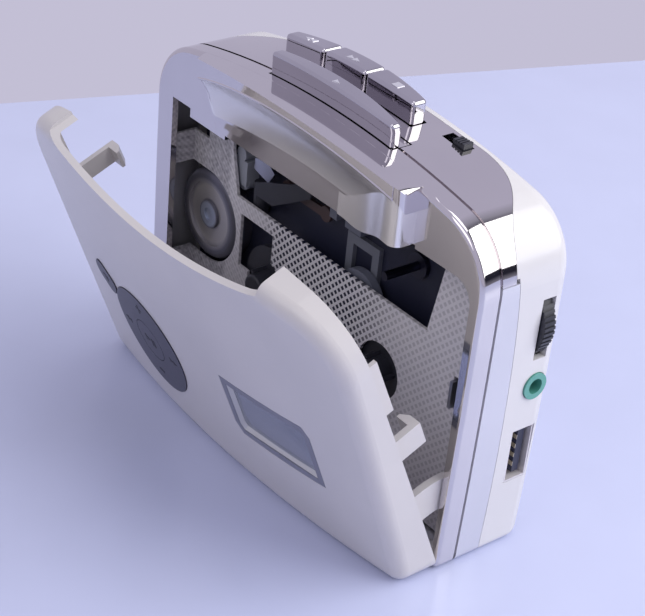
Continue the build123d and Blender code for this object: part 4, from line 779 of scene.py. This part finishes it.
raised_mark("play_mark", [arrowhead(2.2, 4.9, 0.95, 0)], "play")
raised_mark("rewind_mark", [arrowhead(x, 15.4, 1.1, 180) for x in (-21.0, -19.2)], "rewind")
raised_mark("forward_mark", [arrowhead(x, 16.0, 1.1, 0) for x in (-6.8, -5.0)], "forward")
raised_mark("stop_mark", [bar_mark(9.3, 15.8, 2.0, 2.0)], "stop")

# Small black mouldings: hold knob and its switch, volume wheel, reel spindles and battery tray.
# Matte ABS and acetal, with a fine spark-eroded face.
black_plastic = lively_material(
    "black plastic", (0.020, 0.021, 0.030), (0.032, 0.033, 0.046), 0.40, 0.1, 2600, 0.00001
)
dress(
    black_plastic, "hold_knob", "hold_switch", "volume_wheel", "battery_tray", "capacitor", "left_reel",
    "right_reel", "brake_plate",
)

# Headphone socket.
# Green moulded body with a polished ring round its mouth, the usual colour for a line out.
green = lively_material(
    "green plastic", (0.10, 0.36, 0.30), (0.08, 0.30, 0.25), 0.22, 0.05, 1600, 0.000004, coat=0.3
)
dress(green, "headphone_socket")

# USB socket.
# Folded tin plated shell round a black tongue that carries four gilt contact strips.
tin = lively_material(
    "tin plate", (0.80, 0.76, 0.78), (0.72, 0.69, 0.71), 0.36, 0.08, 1800, 0.000003, metallic=0.35
)
dress(tin, "usb_shell")
tongue_blue = lively_material(
    "tongue plastic", (0.016, 0.018, 0.045), (0.022, 0.024, 0.055), 0.38, 0.08, 2200, 0.000006
)
dress(tongue_blue, "usb_tongue")
gilt = lively_material(
    "gilt contacts", (0.72, 0.66, 0.52), (0.64, 0.58, 0.45), 0.25, 0.08, 1800, 0.000002, metallic=1.0
)


def row_tree():
    """Node tree that sets out a row of equal flat bars."""
    tree = bpy.data.node_groups.new("bar row", "GeometryNodeTree")
    sockets = {}
    tree.interface.new_socket(name="Geometry", in_out="INPUT", socket_type="NodeSocketGeometry")
    for name, kind in (
        ("Count", "NodeSocketInt"),
        ("Start", "NodeSocketVector"),
        ("Step", "NodeSocketVector"),
        ("Size", "NodeSocketVector"),
        ("Finish", "NodeSocketMaterial"),
    ):
        sockets[name] = tree.interface.new_socket(name=name, in_out="INPUT", socket_type=kind).identifier
    tree.interface.new_socket(name="Geometry", in_out="OUTPUT", socket_type="NodeSocketGeometry")
    nodes, links = tree.nodes, tree.links
    inside, outside = nodes.new("NodeGroupInput"), nodes.new("NodeGroupOutput")
    row = nodes.new("GeometryNodeMeshLine")
    links.new(inside.outputs["Count"], row.inputs["Count"])
    links.new(inside.outputs["Start"], row.inputs["Start Location"])
    links.new(inside.outputs["Step"], row.inputs["Offset"])
    bar = nodes.new("GeometryNodeMeshCube")
    links.new(inside.outputs["Size"], bar.inputs["Size"])
    places = nodes.new("GeometryNodeInstanceOnPoints")
    links.new(row.outputs["Mesh"], places.inputs["Points"])
    links.new(bar.outputs["Mesh"], places.inputs["Instance"])
    real = nodes.new("GeometryNodeRealizeInstances")
    links.new(places.outputs["Instances"], real.inputs["Geometry"])
    finish = nodes.new("GeometryNodeSetMaterial")
    links.new(real.outputs["Geometry"], finish.inputs["Geometry"])
    links.new(inside.outputs["Finish"], finish.inputs["Material"])
    links.new(finish.outputs["Geometry"], outside.inputs["Geometry"])
    return tree, sockets


bar_row, bar_sockets = row_tree()


def row_of_bars(name, count, start, step, size, material, body):
    """Row of equal bars as one piece, from sizes in millimetres."""
    piece = bpy.data.objects.new(name, bpy.data.meshes.new(name))
    bpy.context.scene.collection.objects.link(piece)
    row = piece.modifiers.new("row", "NODES")
    row.node_group = bar_row
    row[bar_sockets["Count"]] = count
    for socket, value in (("Start", start), ("Step", step), ("Size", size)):
        row[bar_sockets[socket]] = [MM * part for part in value]
    row[bar_sockets["Finish"]] = material
    piece.data = settled(piece)
    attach(piece, body)
    return piece


USB_MIDDLE = 24.65
CONTACT_START = (51.6, FRONT + 19.07, USB_MIDDLE - 3.5)
CONTACT_STEP = (0, 0, 2.33)
CONTACT_SIZE = (8.0, 0.14, 1.1)
row_of_bars("usb_contacts", 4, CONTACT_START, CONTACT_STEP, CONTACT_SIZE, gilt, "case")

# Steel pieces of the deck: plates, posts, pins, springs and screws.
# Pressed, turned and plated steel with a fine brushed or tumbled face.
steel = lively_material(
    "plated steel", (0.42, 0.43, 0.49), (0.32, 0.33, 0.39), 0.30, 0.12, 2200, 0.000004, metallic=1.0
)
dress(
    steel, "lid_hinge_pins", "reel_posts", "head_plate", "tape_head", "pinch_post", "spring_lever",
    "lid_latch", "latch_spring", "battery_contacts", "screws",
)

# Fork bracket under the tape head.
# A small pressed lever in pale grey lacquer that stands out against the dark chassis.
bracket_grey = lively_material(
    "bracket grey", (0.17, 0.18, 0.225), (0.14, 0.15, 0.19), 0.42, 0.08, 1800, 0.000005
)
dress(bracket_grey, "fork_bracket")

# Chassis behind the deck.
# Pressed steel with a dark blue-black lacquer, which the deck plate's openings look into.
chassis_dark = lively_material(
    "chassis lacquer", (0.013, 0.015, 0.036), (0.020, 0.022, 0.048), 0.48, 0.1, 1500, 0.000006
)
dress(chassis_dark, "chassis")

# Motor.
# A drawn steel can with a dished front. Its rim is dark, its dish a warm grey and its boss paler.
MOTOR_AXIS = (-0.0437, 0.0378)
MOTOR_RADIUS = 0.012


def motor_material():
    """Drawn steel whose colour changes in rings round the motor's axis."""
    material, nodes, links = new_material("motor can")
    shader = nodes["Principled BSDF"]
    shader.inputs["Metallic"].default_value = 0.55
    place = nodes.new("ShaderNodeTexCoord")
    centred = nodes.new("ShaderNodeMapping")
    centred.vector_type = "POINT"
    centred.inputs["Location"].default_value = (-MOTOR_AXIS[0], 0, -MOTOR_AXIS[1])
    centred.inputs["Scale"].default_value = (1, 0, 1)
    links.new(place.outputs["Object"], centred.inputs["Vector"])
    reach = nodes.new("ShaderNodeVectorMath")
    reach.operation = "LENGTH"
    links.new(centred.outputs["Vector"], reach.inputs[0])
    share = nodes.new("ShaderNodeMapRange")
    share.inputs["From Max"].default_value = MOTOR_RADIUS
    links.new(reach.outputs["Value"], share.inputs["Value"])
    rings = nodes.new("ShaderNodeValToRGB")
    ramp = rings.color_ramp
    ramp.elements[0].position = 0.0
    ramp.elements[0].color = (0.42, 0.46, 0.56, 1)
    ramp.elements[1].position = 1.0
    ramp.elements[1].color = (0.13, 0.13, 0.17, 1)
    for position, colour in (
        (0.24, (0.42, 0.46, 0.56, 1)),
        (0.29, (0.19, 0.19, 0.23, 1)),
        (0.34, (0.46, 0.44, 0.45, 1)),
        (0.60, (0.54, 0.52, 0.52, 1)),
        (0.69, (0.38, 0.37, 0.40, 1)),
        (0.78, (0.16, 0.16, 0.20, 1)),
    ):
        ramp.elements.new(position).color = colour
    links.new(share.outputs["Result"], rings.inputs["Fac"])
    links.new(rings.outputs["Color"], shader.inputs["Base Color"])
    polish = nodes.new("ShaderNodeMapRange")
    polish.inputs["To Min"].default_value = 0.28
    polish.inputs["To Max"].default_value = 0.46
    grain = nodes.new("ShaderNodeTexNoise")
    grain.inputs["Scale"].default_value = 900.0
    links.new(place.outputs["Object"], grain.inputs["Vector"])
    links.new(grain.outputs["Fac"], polish.inputs["Value"])
    links.new(polish.outputs["Result"], shader.inputs["Roughness"])
    return material


dress(motor_material(), "motor")

# Deck plate.
# Thin aluminium sheet with an expanded lattice over the cassette's bed. At its left end the lattice
# is filled by fine ribs, and above the motor it is a dark mottled grille.


def lattice_group():
    """Mask of an expanded lattice in the X-Z plane, 1 on its wires and 0 in a hole."""
    tree = bpy.data.node_groups.new("expanded lattice", "ShaderNodeTree")
    group_socket(tree, "Pitch", "INPUT", value=0.0016)
    group_socket(tree, "Wire", "INPUT", value=0.5)
    group_socket(tree, "Sheet", "OUTPUT")
    nodes, links = tree.nodes, tree.links
    inside = nodes.new("NodeGroupInput")
    outside = nodes.new("NodeGroupOutput")
    place = nodes.new("ShaderNodeTexCoord")
    split = nodes.new("ShaderNodeSeparateXYZ")
    links.new(place.outputs["Object"], split.inputs["Vector"])
    wires = []
    for operation in ("ADD", "SUBTRACT"):
        along = nodes.new("ShaderNodeMath")
        along.operation = operation
        links.new(split.outputs["X"], along.inputs[0])
        links.new(split.outputs["Z"], along.inputs[1])
        turns = nodes.new("ShaderNodeMath")
        turns.operation = "DIVIDE"
        links.new(along.outputs["Value"], turns.inputs[0])
        links.new(inside.outputs["Pitch"], turns.inputs[1])
        angle = nodes.new("ShaderNodeMath")
        angle.operation = "MULTIPLY"
        angle.inputs[1].default_value = 2 * math.pi
        links.new(turns.outputs["Value"], angle.inputs[0])
        wave = nodes.new("ShaderNodeMath")
        wave.operation = "COSINE"
        links.new(angle.outputs["Value"], wave.inputs[0])
        low = nodes.new("ShaderNodeMath")
        low.operation = "SUBTRACT"
        low.inputs[1].default_value = 0.35
        links.new(inside.outputs["Wire"], low.inputs[0])
        wire = nodes.new("ShaderNodeMapRange")
        wire.interpolation_type = "SMOOTHSTEP"
        links.new(wave.outputs["Value"], wire.inputs["Value"])
        links.new(low.outputs["Value"], wire.inputs["From Min"])
        links.new(inside.outputs["Wire"], wire.inputs["From Max"])
        wires.append(wire)
    either = nodes.new("ShaderNodeMath")
    either.operation = "MAXIMUM"
    links.new(wires[0].outputs["Result"], either.inputs[0])
    links.new(wires[1].outputs["Result"], either.inputs[1])
    links.new(either.outputs["Value"], outside.inputs["Sheet"])
    return tree


LATTICE_START = (-0.024, -0.014)
LATTICE_END = (0.010, 0.030)
GRILLE_END = (-0.0365, -0.0345)


def deck_material():
    """Aluminium lattice of pale wires over dark holes, which fade towards both of its ends."""
    material, nodes, links = new_material("deck sheet")
    shader = nodes["Principled BSDF"]
    shader.inputs["Metallic"].default_value = 0.1
    life = nodes.new("ShaderNodeGroup")
    life.node_tree = surface_life
    life.inputs["Scale"].default_value = 2400
    life.inputs["Roughness"].default_value = 0.38
    life.inputs["Roughness spread"].default_value = 0.12
    life.inputs["Colour"].default_value = (0.76, 0.74, 0.78, 1)
    life.inputs["Worn colour"].default_value = (0.66, 0.64, 0.69, 1)
    holes = nodes.new("ShaderNodeGroup")
    holes.node_tree = lattice_group()
    holes.inputs["Pitch"].default_value = 0.00215
    holes.inputs["Wire"].default_value = 0.42
    place = nodes.new("ShaderNodeTexCoord")
    split = nodes.new("ShaderNodeSeparateXYZ")
    links.new(place.outputs["Object"], split.inputs["Vector"])

    def fade(places, first, last):
        """Smooth change along X from a first to a last value, between two places."""
        step = nodes.new("ShaderNodeMapRange")
        step.interpolation_type = "SMOOTHSTEP"
        for name, value in zip(("From Min", "From Max", "To Min", "To Max"), (*places, first, last)):
            step.inputs[name].default_value = value
        links.new(split.outputs["X"], step.inputs["Value"])
        return step.outputs["Result"]

    def product(first, second, operation="MULTIPLY"):
        """Two values combined."""
        both = nodes.new("ShaderNodeMath")
        both.operation = operation
        for socket, value in zip(both.inputs, (first, second)):
            if isinstance(value, (int, float)):
                socket.default_value = value
            else:
                links.new(value, socket)
        return both.outputs["Value"]

    depth = product(fade(LATTICE_START, 0.12, 1.0), fade(LATTICE_END, 1.0, 0.26))
    gone = product(1.0, holes.outputs["Sheet"], "SUBTRACT")
    shown = product(gone, depth)
    wires = product(1.0, shown, "SUBTRACT")
    ribs = nodes.new("ShaderNodeTexWave")
    ribs.wave_type = "BANDS"
    ribs.bands_direction = "DIAGONAL"
    ribs.inputs["Scale"].default_value = 420.0
    ribs.inputs["Distortion"].default_value = 0.4
    links.new(place.outputs["Object"], ribs.inputs["Vector"])
    rib_share = product(ribs.outputs["Fac"], fade(LATTICE_START, 0.16, 0.0))
    mottle = nodes.new("ShaderNodeTexVoronoi")
    mottle.inputs["Scale"].default_value = 900.0
    links.new(place.outputs["Object"], mottle.inputs["Vector"])
    grille = fade(GRILLE_END, 0.42, 0.0)
    spots = product(grille, product(1.15, mottle.outputs["Distance"], "SUBTRACT"))
    darkening = product(product(rib_share, spots, "ADD"), product(1.0, wires, "SUBTRACT"), "ADD")
    sheet = product(1.0, darkening, "SUBTRACT")
    sheet.node.use_clamp = True
    tone = nodes.new("ShaderNodeMix")
    tone.data_type = "RGBA"
    tone.inputs["A"].default_value = (0.008, 0.011, 0.036, 1)
    links.new(sheet, tone.inputs["Factor"])
    links.new(life.outputs["Colour"], tone.inputs["B"])
    links.new(tone.outputs["Result"], shader.inputs["Base Color"])
    links.new(life.outputs["Roughness"], shader.inputs["Roughness"])
    relief = nodes.new("ShaderNodeBump")
    relief.inputs["Strength"].default_value = 0.7
    relief.inputs["Distance"].default_value = 0.00025
    links.new(sheet, relief.inputs["Height"])
    links.new(relief.outputs["Normal"], shader.inputs["Normal"])
    return material


dress(deck_material(), "deck_plate")

# Grey mouldings of the drive: idler, pinch arm, head guide and the volume control.
# Acetal, self coloured, with a soft sheen.
grey_plastic = lively_material(
    "grey plastic", (0.16, 0.17, 0.22), (0.12, 0.13, 0.18), 0.40, 0.08, 1800, 0.000006
)
dress(grey_plastic, "idler_wheel", "pinch_arm", "head_guide", "volume_pot")

# Pale tape guide and the reddish record link behind the head opening.
# Small acetal mouldings that turn on steel posts riveted to the chassis.
pale_plastic = lively_material(
    "pale plastic", (0.34, 0.36, 0.43), (0.28, 0.30, 0.37), 0.38, 0.06, 1800, 0.000006
)
dress(pale_plastic, "tape_guide")
red_link = lively_material(
    "link plastic", (0.075, 0.045, 0.045), (0.055, 0.035, 0.036), 0.4, 0.06, 1800, 0.000006
)
dress(red_link, "record_link")

# Rubber of the pinch roller and the belt.
# Ground neoprene, dark grey and matte.
rubber = lively_material(
    "drive rubber", (0.025, 0.025, 0.027), (0.045, 0.045, 0.047), 0.72, 0.1, 3000, 0.00001
)
dress(rubber, "pinch_roller", "drive_belt")

# Flywheel with its capstan, pulley and bush.
# Turned steel with a blued face, and sintered iron, both filmed with oil.
blued = lively_material(
    "blued steel", (0.085, 0.088, 0.125), (0.060, 0.062, 0.095), 0.30, 0.1, 2000, 0.000004, metallic=1.0
)
dress(blued, "flywheel", "motor_pulley", "capstan_bush")

# Circuit board in the body.
# Green laminate with a solder mask, carried by the two sockets and the volume control.
laminate = lively_material(
    "board laminate", (0.03, 0.14, 0.07), (0.04, 0.18, 0.09), 0.35, 0.08, 1600, 0.000006, coat=0.2
)
dress(laminate, "circuit_board")

# Two cells in the battery bay.
# Steel cans in a printed plastic sleeve, left plain.
sleeve = lively_material(
    "cell sleeve", (0.05, 0.08, 0.16), (0.07, 0.10, 0.19), 0.3, 0.06, 1200, 0.000003, metallic=0.3
)
dress(sleeve, "battery_cells")

# Table top under the player.
# A pale glossy laminate that ends at the wall's foot, behind and to the left.


def table_plane(corners, colour):
    """Flat top of the set with a softly mottled colour."""
    mesh = bpy.data.meshes.new("table")
    mesh.from_pydata([Vector(corner) for corner in corners], [], [tuple(range(len(corners)))])
    plane = bpy.data.objects.new("table", mesh)
    bpy.context.scene.collection.objects.link(plane)
    dim = tuple(0.97 * part for part in colour)
    mesh.materials.append(lively_material("table laminate", colour, dim, 0.22, 0.04, 60, 0.0))


TABLE_EDGE = [(-0.66, -1.40, 0), (1.40, -1.40, 0), (1.40, -0.10, 0), (0.52, 0.40, 0), (-0.07, 0.40, 0)]
table_plane(TABLE_EDGE, (0.585, 0.625, 0.86))

# Studio light.
# A large soft box stands behind the player's right side, a weaker one in front and one overhead,
# and the room round them is a pale lilac.


def soft_box(name, place, aim, size, power, colour=(1, 1, 1)):
    """Square area lamp at a place, turned towards a point."""
    lamp = bpy.data.lights.new(name, "AREA")
    lamp.shape = "RECTANGLE"
    lamp.size, lamp.size_y = size
    lamp.energy = power
    lamp.color = colour
    holder = bpy.data.objects.new(name, lamp)
    bpy.context.scene.collection.objects.link(holder)
    holder.location = place
    holder.rotation_euler = (Vector(aim) - Vector(place)).to_track_quat("-Z", "Y").to_euler()


KEY_WAY = Vector((0.63, 0.55, 0.54)).normalized()
soft_box("key box", KEY_WAY * 0.8 + Vector((0, 0, 0.05)), (0, 0, 0.05), (0.86, 0.74), 6.0)
soft_box("front fill", (0.05, -0.75, 0.70), (0, 0, 0.05), (0.7, 0.5), 1.3)
soft_box("top box", (-0.02, 0.10, 0.95), (0, 0, 0.04), (0.5, 0.5), 1.2)


WALL_LILAC = (0.546, 0.522, 0.665, 1)


def studio_world():
    """Plain lilac wall. Metal sees it darker round the key box, and it lights the object more softly."""
    world = bpy.data.worlds.new("studio")
    bpy.context.scene.world = world
    world.use_nodes = True
    nodes, links = world.node_tree.nodes, world.node_tree.links
    plain = nodes["Background"]
    plain.inputs["Color"].default_value = WALL_LILAC
    soft = nodes.new("ShaderNodeBackground")
    soft.inputs["Color"].default_value = (0.51, 0.49, 0.55, 1)
    around = nodes.new("ShaderNodeBackground")
    place = nodes.new("ShaderNodeTexCoord")
    towards = nodes.new("ShaderNodeVectorMath")
    towards.operation = "DOT_PRODUCT"
    towards.inputs[1].default_value = KEY_WAY
    links.new(place.outputs["Generated"], towards.inputs[0])
    walls = nodes.new("ShaderNodeValToRGB")
    ramp = walls.color_ramp
    ramp.elements[0].position = 0.60
    ramp.elements[0].color = WALL_LILAC
    ramp.elements[1].position = 0.84
    ramp.elements[1].color = (0.02, 0.02, 0.035, 1)
    ramp.elements.new(0.74).color = (0.36, 0.35, 0.43, 1)
    links.new(towards.outputs["Value"], walls.inputs["Fac"])
    links.new(walls.outputs["Color"], around.inputs["Color"])
    ray = nodes.new("ShaderNodeLightPath")
    mirrored = nodes.new("ShaderNodeMath")
    mirrored.operation = "MAXIMUM"
    links.new(ray.outputs["Is Glossy Ray"], mirrored.inputs[0])
    links.new(ray.outputs["Is Transmission Ray"], mirrored.inputs[1])
    metal_sees = nodes.new("ShaderNodeMixShader")
    links.new(mirrored.outputs["Value"], metal_sees.inputs["Fac"])
    links.new(soft.outputs["Background"], metal_sees.inputs[1])
    links.new(around.outputs["Background"], metal_sees.inputs[2])
    camera_sees = nodes.new("ShaderNodeMixShader")
    links.new(ray.outputs["Is Camera Ray"], camera_sees.inputs["Fac"])
    links.new(metal_sees.outputs["Shader"], camera_sees.inputs[1])
    links.new(plain.outputs["Background"], camera_sees.inputs[2])
    links.new(camera_sees.outputs["Shader"], nodes["World Output"].inputs["Surface"])


studio_world()

# Camera at the photograph's place.
# It is set by its turn round the player, its height and its roll, with the photograph's own centre.
PHOTO_SIZE = (645, 616)
FOCAL_PIXELS = 1701.709
AZIMUTH = math.radians(50.402)
ELEVATION = math.radians(30.725)
ROLL = math.radians(5.183)
DISTANCE = 0.381272
AIM = Vector((0, -0.0127, 0.040))
CENTRE_SHIFT = (-29.97, -13.562)
SENSOR = 36.0

back = Vector(
    (math.sin(AZIMUTH) * math.cos(ELEVATION), -math.cos(AZIMUTH) * math.cos(ELEVATION), math.sin(ELEVATION))
)
right = Vector((math.cos(AZIMUTH), math.sin(AZIMUTH), 0))
up = back.cross(right)
rolled_right = right * math.cos(ROLL) + up * math.sin(ROLL)
rolled_up = up * math.cos(ROLL) - right * math.sin(ROLL)
camera = bpy.data.objects.new("camera", bpy.data.cameras.new("camera"))
bpy.context.scene.collection.objects.link(camera)
camera.data.sensor_width = SENSOR
camera.data.lens = FOCAL_PIXELS * SENSOR / PHOTO_SIZE[0]
camera.data.shift_x = -CENTRE_SHIFT[0] / PHOTO_SIZE[0]
camera.data.shift_y = CENTRE_SHIFT[1] / PHOTO_SIZE[0]
camera.data.clip_start = 0.01
camera.matrix_world = Matrix.Translation(AIM + back * DISTANCE) @ Matrix(
    (
        (rolled_right.x, rolled_up.x, back.x, 0),
        (rolled_right.y, rolled_up.y, back.y, 0),
        (rolled_right.z, rolled_up.z, back.z, 0),
        (0, 0, 0, 1),
    )
)
bpy.context.scene.camera = camera
bpy.context.scene.view_settings.view_transform = "Standard"
